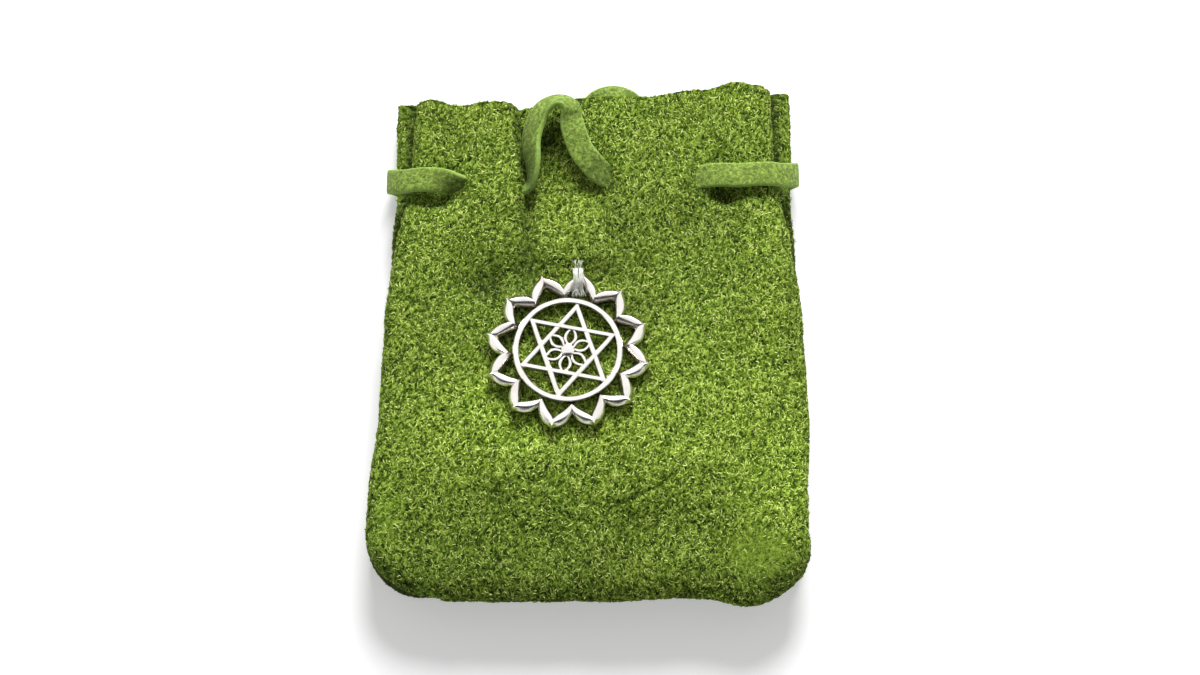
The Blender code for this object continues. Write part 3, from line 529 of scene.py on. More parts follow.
def groove_depth(x, y):
    deepest = np.zeros_like(x)
    for line, half_width in GROOVES:
        line = np.array(line) / 1000
        for (x0, y0, depth_0), (x1, y1, depth_1) in zip(line, line[1:]):
            long_x, long_y = x1 - x0, y1 - y0
            share = ((x - x0) * long_x + (y - y0) * long_y) / (long_x**2 + long_y**2)
            share = np.clip(share, 0, 1)
            away = np.hypot(x - x0 - share * long_x, y - y0 - share * long_y)
            depth = depth_0 + (depth_1 - depth_0) * share
            deepest = np.maximum(deepest, depth * np.exp(-((away * 1000 / half_width) ** 2)))
    return deepest


def away_from(points, patch):
    """The square of each point's distance from a patch's middle, where 1 is the patch's edge."""
    middle_x, middle_y, reach_x, reach_y = np.array(patch) / 1000
    return ((points[:, 0] - middle_x) / reach_x) ** 2 + ((points[:, 1] - middle_y) / reach_y) ** 2


def wear(points):
    """How much the nap of the front is worn off at each point."""
    worn = np.zeros(len(points))
    for *patch, most in WORN:
        worn = np.maximum(worn, most * np.exp(-(away_from(points, patch) ** 2)))
    return worn * (points[:, 2] > SEAM_HEIGHT)


def paint_light_and_shade(points, front):
    """The painted light and shade of the nap at each point, as a factor on its colour."""
    tone = np.ones(len(points))
    if not front:
        x, y = points[:, 0], points[:, 1]
        reach, change = PAINTED_CREVICE_SHADE
        beyond = np.abs(x - middle(y)) - seam_half_width(y) - LOBE
        above = points[:, 2] > SEAM_HEIGHT / 2
        return tone + change * np.exp(-((np.maximum(beyond, 0) / reach) ** 2)) * above
    for *patch, change in PAINTED_LIGHT_AND_SHADE:
        tone += change * np.exp(-away_from(points, patch))
    radius, half_width, change = PAINTED_CHARM_SHADE
    away = np.hypot(points[:, 0] - CHARM_X, points[:, 1] - CHARM_Y) - radius
    tone += change * np.exp(-((away / half_width) ** 2))
    return tone


def back_height(x, y):
    return MOUTH_LIFT * smooth(LIFT_START_Y, LIFT_END_Y, y)


def front_lobe(x, y, out):
    return LOBE + along_points(BOTTOM_ROLL, x) * np.maximum(0.0, -out[:, 1])


def back_lobe(x, y, out):
    return LOBE + back_peek(y) * np.abs(out[:, 0])


def panel_plan(mouth):
    """Plan of a panel inside its seam, as columns of (x, y), and its border with what lies outward."""
    low = BOTTOM_Y + CORNER_RADIUS
    levels = np.linspace(low, MOUTH_Y, SIDE_ROWS + 1)
    turn = CORNER_RADIUS - LOBE
    corner_x = seam_half_width(levels[:1])[0] - turn
    plan = np.zeros((COLUMNS + 1, CORNER_STEPS + SIDE_ROWS + 1, 2))
    outward = {}
    shares = np.linspace(-1, 1, COLUMNS + 1)
    for j, level in enumerate(levels):
        x = middle(level) + shares * seam_half_width(level)
        rise = smooth(LACE_Y, MOUTH_Y, level) * along_points(mouth, x)
        plan[:, j + CORNER_STEPS] = np.stack((x, level + rise), axis=1)
        outward[0, j + CORNER_STEPS] = (-1.0, 0.0)
        outward[COLUMNS, j + CORNER_STEPS] = (1.0, 0.0)
    for i in range(COLUMNS + 1):
        from_end = min(i, COLUMNS - i)
        sign = -1 if 2 * i < COLUMNS else 1
        if from_end < CORNER_STEPS:
            angle = math.radians(45 * (1 + from_end / CORNER_STEPS))
            outward[i, 0] = (sign * math.cos(angle), -math.sin(angle))
            plan[i, 0] = np.array((sign * corner_x, low)) + turn * np.array(outward[i, 0])
        else:
            share = 2 * (i - CORNER_STEPS) / (COLUMNS - 2 * CORNER_STEPS) - 1
            outward[i, 0] = (0.0, -1.0)
            plan[i, 0] = (share * corner_x, low - turn)
    even = np.linspace(0, 1, COLUMNS + 1)[:, None]
    for j in range(1, CORNER_STEPS):
        up = j / CORNER_STEPS
        angle = math.radians(45 * (1 - up))
        plan[:, j] = (1 - up) * plan[:, 0] + up * plan[:, CORNER_STEPS]
        bends = []
        for i, sign in ((0, -1), (COLUMNS, 1)):
            outward[i, j] = (sign * math.cos(angle), -math.sin(angle))
            arc = np.array((sign * corner_x, low)) + turn * np.array(outward[i, j])
            bends.append(arc - plan[i, j])
        plan[:, j] += (1 - even) * bends[0] + even * bends[1]
    rows = plan.shape[1]
    border = [(0, j) for j in range(rows - 1, -1, -1)]
    border += [(i, 0) for i in range(1, COLUMNS + 1)]
    border += [(COLUMNS, j) for j in range(1, rows)]
    return plan, border, np.array([outward[spot] for spot in border])


def grid_faces(index):
    """Quads of a grid of point numbers."""
    corners = (index[:-1, :-1], index[1:, :-1], index[1:, 1:], index[:-1, 1:])
    return np.stack([c.ravel() for c in corners], axis=1).tolist()


def bridge(fine, coarse):
    """Faces between a fine line of points and a coarse one that has one point for every few of it."""
    faces = []
    for k in range(len(coarse) - 1):
        start = k * LINING_SHARE
        half = start + LINING_SHARE // 2
        faces += [(fine[n], fine[n + 1], coarse[k]) for n in range(start, half)]
        faces.append((fine[half], coarse[k + 1], coarse[k]))
        faces += [(fine[n], fine[n + 1], coarse[k + 1]) for n in range(half, start + LINING_SHARE)]
    return faces


def panel_mesh(name, side, height, mouth, lobe_reach, corners):
    """A closed panel: its face and the lobe round it, finely divided, and a coarser lining."""
    plan, border, out = panel_plan(mouth)
    seam_side = SEAM_HEIGHT + side * SEAM_GAP / 2
    points, faces = [], []
    count = 0

    def add(block):
        nonlocal count
        points.append(block.reshape(-1, 3))
        first = count
        count += len(points[-1])
        return first + np.arange(count - first).reshape(block.shape[:-1])

    def surface(step, inner):
        x, y = plan[::step, ::step, 0], plan[::step, ::step, 1]
        z = height(x, y)
        block = np.stack((x, y, z), axis=-1)
        skin = LEATHER if inner else 0.0
        if inner:
            d = SLOPE_STEP
            slope_x = (height(x + d, y) - height(x - d, y)) / (2 * d)
            slope_y = (height(x, y + d) - height(x, y - d)) / (2 * d)
            normal = np.stack((-slope_x, -slope_y, np.ones_like(z)), axis=-1)
            block -= side * LEATHER * normal / np.linalg.norm(normal, axis=-1, keepdims=True)
        face = add(block)
        spots = border[::step]
        outs = out[::step]
        at = np.array([plan[spot] for spot in spots])
        edge = np.array([face[i // step, j // step] for i, j in spots])
        face_z = height(at[:, 0], at[:, 1])
        reach = lobe_reach(at[:, 0], at[:, 1], outs) - skin
        halfway, rise = (face_z + seam_side) / 2, np.abs(face_z - seam_side) / 2 - skin
        lift = np.where(outs[:, 0] < 0, corners[0], corners[1]) * smooth(LACE_Y, MOUTH_Y, at[:, 1])
        if inner:
            block.reshape(-1, 3)[edge - face[0, 0], 2] = halfway + side * rise
        rings = [edge]
        steps = LOBE_STEPS // (2 if inner else 1)
        for k in range(1, steps + 1):
            angle = math.pi * k / steps
            far = reach * math.sin(angle)
            ring = np.empty((len(at), 3))
            ring[:, :2] = at + outs * far[:, None]
            ring[:, 1] += lift * far / np.maximum(reach, 1e-6)
            ring[:, 2] = halfway + side * rise * math.cos(angle)
            rings.append(add(ring))
        last = np.empty((len(at), 3))
        last[:, :2] = at - outs * ALLOWANCE
        last[:, 2] = seam_side + side * skin
        rings.append(add(last))
        rings = np.array(rings)
        return face, rings, grid_faces(face) + grid_faces(rings.T)

    face, rings, quads = surface(1, inner=False)
    lining, lining_rings, lining_quads = surface(LINING_SHARE, inner=True)
    faces += quads + lining_quads
    faces += bridge(list(face[:, -1]), list(lining[:, -1]))
    faces += bridge(list(rings[-1]), list(lining_rings[-1]))
    for end in (0, -1):
        outer, inner = list(rings[:, end]), list(lining_rings[:, end])
        near = 0
        for k in range(len(inner) - 1):
            until = round((k + 1) * (len(outer) - 1) / (len(inner) - 1))
            faces += [(outer[n], outer[n + 1], inner[k]) for n in range(near, until)]
            faces.append((outer[until], inner[k + 1], inner[k]))
            near = until
    mesh = closed_mesh(name, np.concatenate(points), faces)
    napped = np.zeros(len(mesh.vertices), bool)
    napped[np.concatenate((face.ravel(), rings[:-1].ravel()))] = True
    lay_out_panel(mesh, face, rings, lining, lining_rings)
    return mesh, napped


def lay_out_panel(mesh, face, rings, lining, lining_rings):
    """A map of the panel: its face, and beside it the lobe, the lining and the lining's lobe."""
    spots = np.zeros((len(mesh.vertices), 2))
    areas = (
        (face, 0.02, 0.02, 0.66, 0.80),
        (lining, 0.70, 0.02, 0.28, 0.34),
        (lining_rings.T, 0.70, 0.40, 0.28, 0.12),
    )
    for index, left, low, width, height in areas:
        steps = [np.arange(size) / (size - 1) for size in index.shape]
        i, j = np.meshgrid(*steps, indexing="ij")
        spots[index] = np.stack((left + width * i, low + height * j), axis=-1)
    folded = rings.T
    third = math.ceil(len(folded) / 3)
    for part in range(3):
        index = folded[part * third : (part + 1) * third, 1:]
        across = np.arange(index.shape[1]) / index.shape[1]
        i, j = np.meshgrid(np.arange(len(index)) / third, across, indexing="ij")
        spots[index] = np.stack((0.02 + 0.96 * i, 0.84 + 0.05 * part + 0.045 * j), axis=-1)
    layer = mesh.uv_layers.new(name="OFBake")
    corners = np.empty(len(mesh.loops), int)
    mesh.loops.foreach_get("vertex_index", corners)
    layer.uv.foreach_set("vector", spots[corners].astype(np.float32).ravel())


def closed_mesh(name, points, faces):
    mesh = bpy.data.meshes.new(name)
    mesh.from_pydata(points.tolist(), [], faces)
    built = bmesh.new()
    built.from_mesh(mesh)
    bmesh.ops.recalc_face_normals(built, faces=built.faces)
    built.to_mesh(mesh)
    built.free()
    mesh.shade_smooth()
    return mesh


def get_points(mesh, kind="co"):
    data = np.empty(len(mesh.vertices) * 3)
    mesh.vertices.foreach_get(kind, data)
    return data.reshape(-1, 3)


def put_attribute(mesh, name, values):
    mesh.attributes.new(name, "FLOAT", "POINT").data.foreach_set("value", np.asarray(values, np.float32))


def raise_nap(mesh, napped, seed):
    """Moves the suede's surface in and out in curly clumps, and keeps how deep each point lies."""
    at = get_points(mesh)
    normals = get_points(mesh, "normal")
    deep = np.zeros(len(at))
    waves = np.zeros(len(at))
    shift = Vector((seed * 1.7, seed * 0.9, seed * 2.3))
    for k in np.flatnonzero(napped):
        spot = Vector(at[k])
        curl = noise.noise_vector(spot / CURL_SIZE + shift)
        clump = noise.noise(spot / NAP_SIZE + shift + curl * CLUMP_BEND)
        wisp = noise.noise(spot / WISP_SIZE + shift + curl * WISP_BEND)
        deep[k] = 0.5 + CLUMP_SHARE * clump + WISP_SHARE * wisp
        waves[k] = noise.noise(spot / UNDULATION_SIZE + shift)
    worn = wear(at) if seed == FRONT_SEED else np.zeros(len(at))
    deep = np.clip(deep, 0, 1)
    deep = deep * (1 - worn) + (WORN_LEVEL + WORN_SHARE * deep) * worn
    move = NAP_DEPTH * (deep - NAP_LEVEL) + UNDULATION * (waves - UNDULATION_LEVEL)
    at += normals * (move * napped)[:, None]
    mesh.vertices.foreach_set("co", at.ravel())
    put_attribute(mesh, "nap", deep)
    # Painted light and shade of the suede, kept as the tone attribute
    put_attribute(mesh, "tone", paint_light_and_shade(at, seed == FRONT_SEED))
    mesh.update()


def fibres(name, surface, napped, count, seed, length, rise, mouth):
    """Curly fibres of the nap as narrow ribbons that lie on the suede, each with a lifted tip."""
    random = np.random.default_rng(seed)
    surface.calc_loop_triangles()
    corners = np.empty(len(surface.loop_triangles) * 3, int)
    surface.loop_triangles.foreach_get("vertices", corners)
    corners = corners.reshape(-1, 3)
    corners = corners[napped[corners].all(1)]
    at, normals = get_points(surface), get_points(surface, "normal")
    a, b, c = (at[corners[:, k]] for k in range(3))
    areas = np.linalg.norm(np.cross(b - a, c - a), axis=1)
    facing = sum(normals[corners[:, k], 2] for k in range(3)) / 3
    areas *= (1 - FIBRE_THINNING * wear((a + b + c) / 3)) * (1 + FIBRE_FACING * np.clip(facing, 0, 1))
    chosen = random.choice(len(corners), count, p=areas / areas.sum())
    share = random.dirichlet((1, 1, 1), count)[:, :, None]
    root = (at[corners[chosen]] * share).sum(1)
    normal = (normals[corners[chosen]] * share).sum(1)
    normal /= np.linalg.norm(normal, axis=1, keepdims=True)
    side = np.cross(normal, random.normal(size=(count, 3)) + np.array(FIBRE_COMB))
    side /= np.linalg.norm(side, axis=1, keepdims=True)
    forward = np.cross(side, normal)
    trim = (MOUTH_Y + along_points(mouth, root[:, 0]) - root[:, 1]) / TRIM_REACH
    trim = np.clip(trim, TRIM_LEAST, 1.0) * (SIDE_TRIM + (1 - SIDE_TRIM) * np.clip(normal[:, 2], 0, 1))
    long = length * random.uniform(*FIBRE_LENGTHS, count) * trim
    curl = random.normal(0, FIBRE_CURL, count)
    tilt = random.normal(0, FIBRE_TILT, count)
    tip = rise * random.uniform(*FIBRE_RISES, count) * trim
    width = random.uniform(*FIBRE_WIDTHS, count)
    lines = []
    spot = root - normal * FIBRE_ROOT
    for step in range(FIBRE_STEPS + 1):
        along = step / FIBRE_STEPS
        heading = curl * (along - 0.3)
        ahead = forward * np.cos(heading)[:, None] + side * np.sin(heading)[:, None]
        across = np.cross(normal, ahead)
        leaning = across * np.cos(tilt)[:, None] + normal * np.sin(tilt)[:, None]
        half = width * FIBRE_SHAPE[step] / 2
        lifted = spot + normal * (tip * math.sin(along * 2.2) ** 1.5)[:, None]
        lines += [lifted - leaning * half[:, None], lifted + leaning * half[:, None]]
        spot = spot + ahead * (long / FIBRE_STEPS)[:, None]
    points = np.stack(lines, axis=1)
    per = 2 * (FIBRE_STEPS + 1)
    base = np.arange(count)[:, None] * per
    quads = [base + np.array((2 * k, 2 * k + 1, 2 * k + 3, 2 * k + 2)) for k in range(FIBRE_STEPS)]
    faces = np.stack(quads, axis=1).reshape(-1, 4)
    mesh = bpy.data.meshes.new(name)
    mesh.vertices.add(count * per)
    mesh.vertices.foreach_set("co", points.astype(np.float32).ravel())
    mesh.loops.add(faces.size)
    mesh.loops.foreach_set("vertex_index", faces.ravel().astype(np.int32))
    mesh.polygons.add(len(faces))
    mesh.polygons.foreach_set("loop_start", np.arange(0, faces.size, 4, dtype=np.int32))
    mesh.update(calc_edges=True)
    mesh.shade_smooth()
    paler_tips = np.repeat(np.linspace(0.0, 0.2, FIBRE_STEPS + 1), 2)
    tone = random.beta(1.2, 1.4, count)[:, None] * 0.9 + paler_tips
    put_attribute(mesh, "nap", tone.ravel())
    # Each fibre takes the painted light and shade of the spot it grows from
    put_attribute(mesh, "tone", np.repeat(paint_light_and_shade(root, mouth is FRONT_MOUTH), per))
    flat = points.reshape(-1, 3)[faces.ravel(), :2]
    low, high = flat.min(0), flat.max(0)
    layer = mesh.uv_layers.new(name="OFBake")
    layer.uv.foreach_set("vector", ((flat - low) / (high - low)).astype(np.float32).ravel())
    return mesh


# Materials


def linear(*screen):
    """A colour seen on the screen, from 0 to 255, as the shader takes it."""
    return tuple(c / 255 / 12.92 if c <= 10 else ((c / 255 + 0.055) / 1.055) ** 2.4 for c in screen)


class Nodes:
    """Short ways to add nodes to a tree."""

    def __init__(self, tree):
        self.tree = tree

    def node(self, kind, **values):
        made = self.tree.nodes.new(kind)
        for key, value in values.items():
            if hasattr(made, key):
                setattr(made, key, value)
            else:
                self.put(made.inputs[key.replace("_", " ")], value)
        return made

    def put(self, socket, value):
        if isinstance(value, bpy.types.NodeSocket):
            self.tree.links.new(value, socket)
        else:
            socket.default_value = value

    def place(self):
        return self.node("ShaderNodeTexCoord").outputs["Object"]

    def noise(self, scale, detail=2.0, roughness=0.5, distortion=0.0):
        values = {"Scale": scale, "Detail": detail, "Roughness": roughness, "Distortion": distortion}
        return self.node("ShaderNodeTexNoise", Vector=self.place(), **values).outputs["Fac"]

    def attribute(self, name):
        return self.node("ShaderNodeAttribute", attribute_name=name).outputs["Fac"]

    def math(self, operation, first, second=0.0, third=0.0):
        made = self.node("ShaderNodeMath", operation=operation)
        for k, value in enumerate((first, second, third)):
            self.put(made.inputs[k], value)
        return made.outputs[0]

    def ramp(self, factor, *stops):
        """Colours between a few stops, each a position and a colour seen on the screen."""
        made = self.node("ShaderNodeValToRGB")
        while len(made.color_ramp.elements) < len(stops):
            made.color_ramp.elements.new(0.5)
        for element, (position, *screen) in zip(made.color_ramp.elements, stops):
            element.position = position
            element.color = (*linear(*screen), 1.0)
        self.put(made.inputs["Fac"], factor)
        return made.outputs["Color"]

    def mix(self, factor, first, second, blend="MIX"):
        made = self.node("ShaderNodeMix", data_type="RGBA", blend_type=blend)
        for key, value in (("Factor_Float", factor), ("A_Color", first), ("B_Color", second)):
            socket = next(s for s in made.inputs if s.identifier == key)
            self.put(socket, (*value, 1.0) if isinstance(value, tuple) else value)
        return next(s for s in made.outputs if s.identifier == "Result_Color")


class Look(Nodes):
    """A Principled material."""

    def __init__(self, name, **values):
        self.material = bpy.data.materials.new(name)
        self.material.use_nodes = True
        super().__init__(self.material.node_tree)
        self.shader = self.tree.nodes["Principled BSDF"]
        for key, value in values.items():
            self.set(key.replace("_", " "), value)

    def set(self, socket, value):
        self.put(self.shader.inputs[socket], value)

    def sheen(self, weight, roughness, *screen):
        self.set("Sheen Weight", weight)
        self.set("Sheen Roughness", roughness)
        self.set("Sheen Tint", (*linear(*screen), 1.0))

    def tint(self, base):
        """The colour, multiplied by the tone attribute that holds painted light and shade."""
        self.set("Base Color", self.mix(1.0, base, self.attribute("tone"), "MULTIPLY"))

    def bump(self, height, strength, distance):
        made = self.node("ShaderNodeBump", Strength=strength, Distance=distance)
        self.put(made.inputs["Height"], height)
        self.set("Normal", made.outputs["Normal"])


def suede_look():
    look = Look("green_suede", Roughness=0.95, Specular_IOR_Level=0.15)
    look.sheen(0.08, 0.6, 190, 220, 130)
    nap = look.attribute("nap")
    fine = look.noise(2600, 3, 0.6, 1.5)
    # Colour follows how deep the nap lies, with fine noise: the nap's own grain, and painted shade that
    # darkens its hollows
    depth = look.math("MULTIPLY_ADD", look.math("SUBTRACT", fine, 0.5), 0.9, nap)
    base = look.ramp(depth, (0.12, 20, 32, 4), (0.42, 66, 90, 20), (0.66, 126, 156, 48), (0.95, 186, 210, 96))
    drift = look.noise(60, 2, 0.5)
    drifted = look.ramp(drift, (0.35, 0, 0, 0), (0.65, 255, 255, 255))
    shade = look.mix(drifted, linear(232, 240, 225), linear(255, 252, 240))
    look.tint(look.mix(1.0, base, shade, "MULTIPLY"))
    look.bump(fine, 0.7, 0.0004)
    return look.material


def fibre_look():
    look = Look("suede_fibre", Roughness=0.85, Specular_IOR_Level=0.2)
    look.sheen(0.05, 0.5, 200, 225, 140)
    clump = look.noise(900, 2, 0.5, 0.5)
    tone = look.math("MULTIPLY_ADD", look.math("SUBTRACT", clump, 0.5), 0.6, look.attribute("nap"))
    stops = ((0.08, 34, 52, 6), (0.36, 98, 128, 32), (0.64, 160, 187, 68), (0.94, 224, 240, 136))
    look.tint(look.ramp(tone, *stops))
    return look.material


def lace_look():
    look = Look("green_lace", Roughness=0.85)
    look.sheen(0.2, 0.5, 200, 225, 150)
    fine = look.noise(3200, 3, 0.6, 0.8)
    grain = look.math("MULTIPLY_ADD", look.noise(1500, 3, 0.6, 0.6), 0.65, look.math("MULTIPLY", fine, 0.35))
    base = look.ramp(grain, (0.34, 54, 78, 17), (0.50, 115, 142, 46), (0.64, 168, 192, 84))
    cut = look.math("MULTIPLY", look.attribute("edge"), 0.55)
    look.tint(look.mix(cut, base, linear(160, 198, 92)))
    look.bump(fine, 0.5, 0.00025)
    return look.material


# Pieces


def add_object(name, data):
    made = bpy.data.objects.new(name, data)
    scene.collection.objects.link(made)
    return made


def add_piece(name, mesh, look):
    piece = add_object(name, mesh)
    mesh.materials.clear()
    mesh.materials.append(look)
    return piece


def catmull_rom(p0, p1, p2, p3, t):
    return 0.5 * (
        2 * p1
        + (p2 - p0) * t
        + (2 * p0 - 5 * p1 + 4 * p2 - p3) * t**2
        + (3 * p1 - p0 - 3 * p2 + p3) * t**3
    )


def lace_line(step_length):
    knots = np.array([spot if len(spot) == 6 else spot + UP_THE_POUCH for spot in LACE_ROUTE])
    knots[:, :3] *= 0.001
    count = len(knots)
    fine = []
    for k in range(count):
        around = [knots[(k + n) % count] for n in (-1, 0, 1, 2)]
        fine += [catmull_rom(*around, step / KNOT_STEPS) for step in range(KNOT_STEPS)]
    fine = np.array(fine + [fine[0]])
    along = np.concatenate([[0], np.cumsum(np.linalg.norm(np.diff(fine[:, :3], axis=0), axis=1))])
    steps = round(along[-1] / step_length)
    at = np.linspace(0, along[-1], steps + 1)[:-1]
    return np.stack([np.interp(at, along, fine[:, k]) for k in range(6)], axis=1)


def lace_mesh():
    """The lace as a closed loop with softly rounded edges."""
    line = lace_line(LACE_STEP)
    ahead = np.roll(line[:, :3], -1, axis=0) - np.roll(line[:, :3], 1, axis=0)
    ahead /= np.linalg.norm(ahead, axis=1, keepdims=True)
    across = line[:, 3:] - ahead * (line[:, 3:] * ahead).sum(1, keepdims=True)
    across /= np.linalg.norm(across, axis=1, keepdims=True)
    up = np.cross(ahead, across)
    section = []
    for k in range(LACE_SIDES):
        angle = 2 * math.pi * (k + 0.5) / LACE_SIDES
        a, b = math.cos(angle), math.sin(angle)
        corner = (math.copysign(abs(a) ** LACE_ROUNDING[0], a), math.copysign(abs(b) ** LACE_ROUNDING[1], b))
        section.append(corner)
    rings = []
    for a, b in section:
        rings.append(line[:, :3] + across * a * LACE_WIDTH / 2 + up * b * LACE_THICKNESS / 2)
    at, faces = swept(np.stack(rings, axis=1))
    mesh = closed_mesh("lace", at, faces)
    put_attribute(mesh, "edge", np.tile([abs(a) > LACE_EDGE for a, _ in section], len(line)))
    # Painted shade on the lace, kept as its tone attribute
    tone = np.ones(len(at))
    for *patch, change in LACE_PAINTED_SHADE:
        tone += change * np.exp(-away_from(at, patch)) * (at[:, 2] > SEAM_HEIGHT)
    put_attribute(mesh, "tone", tone)
    return mesh


def dress_pouch():
    suede = suede_look()
    fibre = fibre_look()
    front, napped = panel_mesh("front_suede", 1, front_height, FRONT_MOUTH, front_lobe, FRONT_CORNERS)
    raise_nap(front, napped, FRONT_SEED)
    share = FRONT_FIBRES // len(FRONT_LAYERS)
    for number, layer in enumerate(FRONT_LAYERS, 1):
        name = f"front_nap_{number}"
        nap = add_piece(name, fibres(name, front, napped, share, number, *layer, FRONT_MOUTH), fibre)
        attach(nap, "bag")
    piece = add_piece("front_suede", front, suede)
    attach(piece, "bag")
    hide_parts("front_panel")
    back, napped = panel_mesh("back_suede", -1, back_height, BACK_MOUTH, back_lobe, BACK_CORNERS)
    raise_nap(back, napped, BACK_SEED)
    nap = fibres("back_nap", back, napped, BACK_FIBRES, BACK_NAP_SEED, *BACK_LAYER, BACK_MOUTH)
    nap = add_piece("back_nap", nap, fibre)
    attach(nap, "bag")
    piece = add_piece("back_suede", back, suede)
    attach(piece, "bag")
    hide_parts("back_panel")
    lace = add_piece("lace", lace_mesh(), lace_look())
    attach(lace, "bag")
    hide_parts("drawstring")


def swept(rings):
    """Points and faces of a ring of cross sections, each a list of points, closed both ways."""
    rings = np.array(rings)
    count, size, _ = rings.shape
    index = np.arange(count * size).reshape(count, size)
    index = np.concatenate((index, index[:1]))
    index = np.concatenate((index, index[:, :1]), axis=1)
    return rings.reshape(-1, 3), grid_faces(index)


def at_angle(radius, angle, z):
    return radius * math.cos(angle), radius * math.sin(angle), z


def petal_ring():
    table = np.array(PETAL_CONTOURS)
    rings = []
    for petal in range(2 * PETALS):
        outward = petal % 2 == 0
        for step in range(PETAL_STEPS):
            share = step / PETAL_STEPS if outward else 1 - step / PETAL_STEPS
            radii = [np.interp(share, table[:, 0], table[:, k]) / 1000 for k in (1, 2, 3)]
            half = math.pi / PETALS
            angle = math.pi / 2 - half + half * petal + half * step / PETAL_STEPS
            ring = []
            for across, z in PETAL_SECTION:
                ring.append(at_angle(np.interp(across, (0, 1, 2), radii), angle, z / 1000))
            rings.append(ring)
    return swept(rings)


def bar_section(width, top, base):
    """A flat bar with softened upper edges: offset and height."""
    half = width / 2
    bevel = min(width * BAR_BEVEL_SHARE, BAR_BEVEL)
    left = ((-half, base), (-half, top - bevel), (-half + bevel, top))
    return left + tuple((-offset, height) for offset, height in reversed(left))


def flat_ring(radius, section, steps):
    rings = []
    for step in range(steps):
        angle = 2 * math.pi * step / steps
        rings.append([at_angle(radius + offset, angle, z) for offset, z in section])
    return swept(rings)


def triangle_frame(radius, section, first):
    """Three straight bars that meet in mitred corners."""
    rings = []
    for corner in range(3):
        angle = first + 2 * math.pi * corner / 3
        rings.append([at_angle(radius + 2 * offset, angle, z) for offset, z in section])
    return swept(rings)


def rosette(section):
    """Pointed leaves round the middle."""
    shapes = []
    for leaf in range(LEAVES):
        turn = 2 * math.pi / LEAVES * (leaf + 0.5)
        cos, sin = math.cos(turn), math.sin(turn)
        rings = []
        for side in (1, -1):
            for step in range(LEAF_STEPS):
                share = step / LEAF_STEPS if side == 1 else 1 - step / LEAF_STEPS
                bow = side * LEAF_BOW * math.sin(math.pi * share) ** 0.8
                # The section is set off sideways along the leaf, and lengthways at its ends
                sideways = side if 0 < share < 1 else 0
                lengthways = {0: -1, 1: 1}.get(share, 0)
                ring = []
                for offset, z in section:
                    out = LEAF_ROOT + LEAF_LENGTH * share + lengthways * offset
                    aside = bow + sideways * offset
                    ring.append((out * cos - aside * sin, out * sin + aside * cos, z))
                rings.append(ring)
        shapes.append(swept(rings))
    return joined(shapes)


def boss():
    """A low dome on an upright foot."""
    rings = []
    for k in range(BOSS_RINGS):
        angle = math.pi / 2 * k / BOSS_RINGS
        radius = BOSS_RADIUS * math.cos(angle)
        z = BOSS_BASE
        if k > 0:
            z += (BOSS_TOP - BOSS_BASE) * (BOSS_SHOULDER + (1 - BOSS_SHOULDER) * math.sin(angle))
        rings.append([at_angle(radius, 2 * math.pi * n / BOSS_STEPS, z) for n in range(BOSS_STEPS)])
    index = np.arange(BOSS_RINGS * BOSS_STEPS).reshape(BOSS_RINGS, BOSS_STEPS)
    faces = grid_faces(np.concatenate((index, index[:, :1]), axis=1))
    return np.array(rings).reshape(-1, 3), faces + [tuple(index[-1])]


def joined(shapes):
    """One list of points and one of faces from several shapes."""
    faces, first = [], 0
    for made, quads in shapes:
        faces += [tuple(first + n for n in quad) for quad in quads]
        first += len(made)
    return np.concatenate([made for made, _ in shapes]), faces


def make_charm():
    star = bar_section(*STAR_BAR)
    raised_star = [(offset, z + STAR_STEP) for offset, z in star]
    shapes = (
        petal_ring(),
        flat_ring(RING_RADIUS, bar_section(*RING_BAR), RING_STEPS),
        triangle_frame(STAR_RADIUS, star, math.pi / 2),
        triangle_frame(STAR_RADIUS, raised_star, -math.pi / 2),
        rosette(bar_section(*LEAF_BAR)),
        boss(),
    )
    at, faces = joined(shapes)
    cos, sin = math.cos(CHARM_TURN), math.sin(CHARM_TURN)
    x, y, z = at.T
    turned = np.stack((x * cos - y * sin, x * sin + y * cos, z), axis=1)
    mesh = closed_mesh("silver_lotus", turned + np.array((CHARM_X, CHARM_Y, CHARM_Z)), faces)
    put_attribute(mesh, "low", np.clip((TARNISH_TOP - at[:, 2]) / TARNISH_REACH, 0, 1))
    mesh.set_sharp_from_angle(angle=SHARP_ANGLE)
    charm = add_piece("silver_lotus", mesh, silver_look())
    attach(charm, "charm")
    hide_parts("lotus_charm")


def silver_look():
    look = Look("silver", Metallic=1.0)
    drift = look.noise(240, 3, 0.6, 0.6)
    tone = look.ramp(drift, (0.3, 240, 235, 227), (0.7, 254, 251, 246))
    tarnish = look.math("MULTIPLY", look.attribute("low"), 0.85)
    look.set("Base Color", look.mix(tarnish, tone, linear(96, 84, 76)))
    look.set("Roughness", look.math("MULTIPLY_ADD", look.noise(700, 3, 0.6), 0.22, 0.10))
    look.bump(look.noise(420, 2, 0.5, 0.4), 0.25, 0.00008)
    return look.material


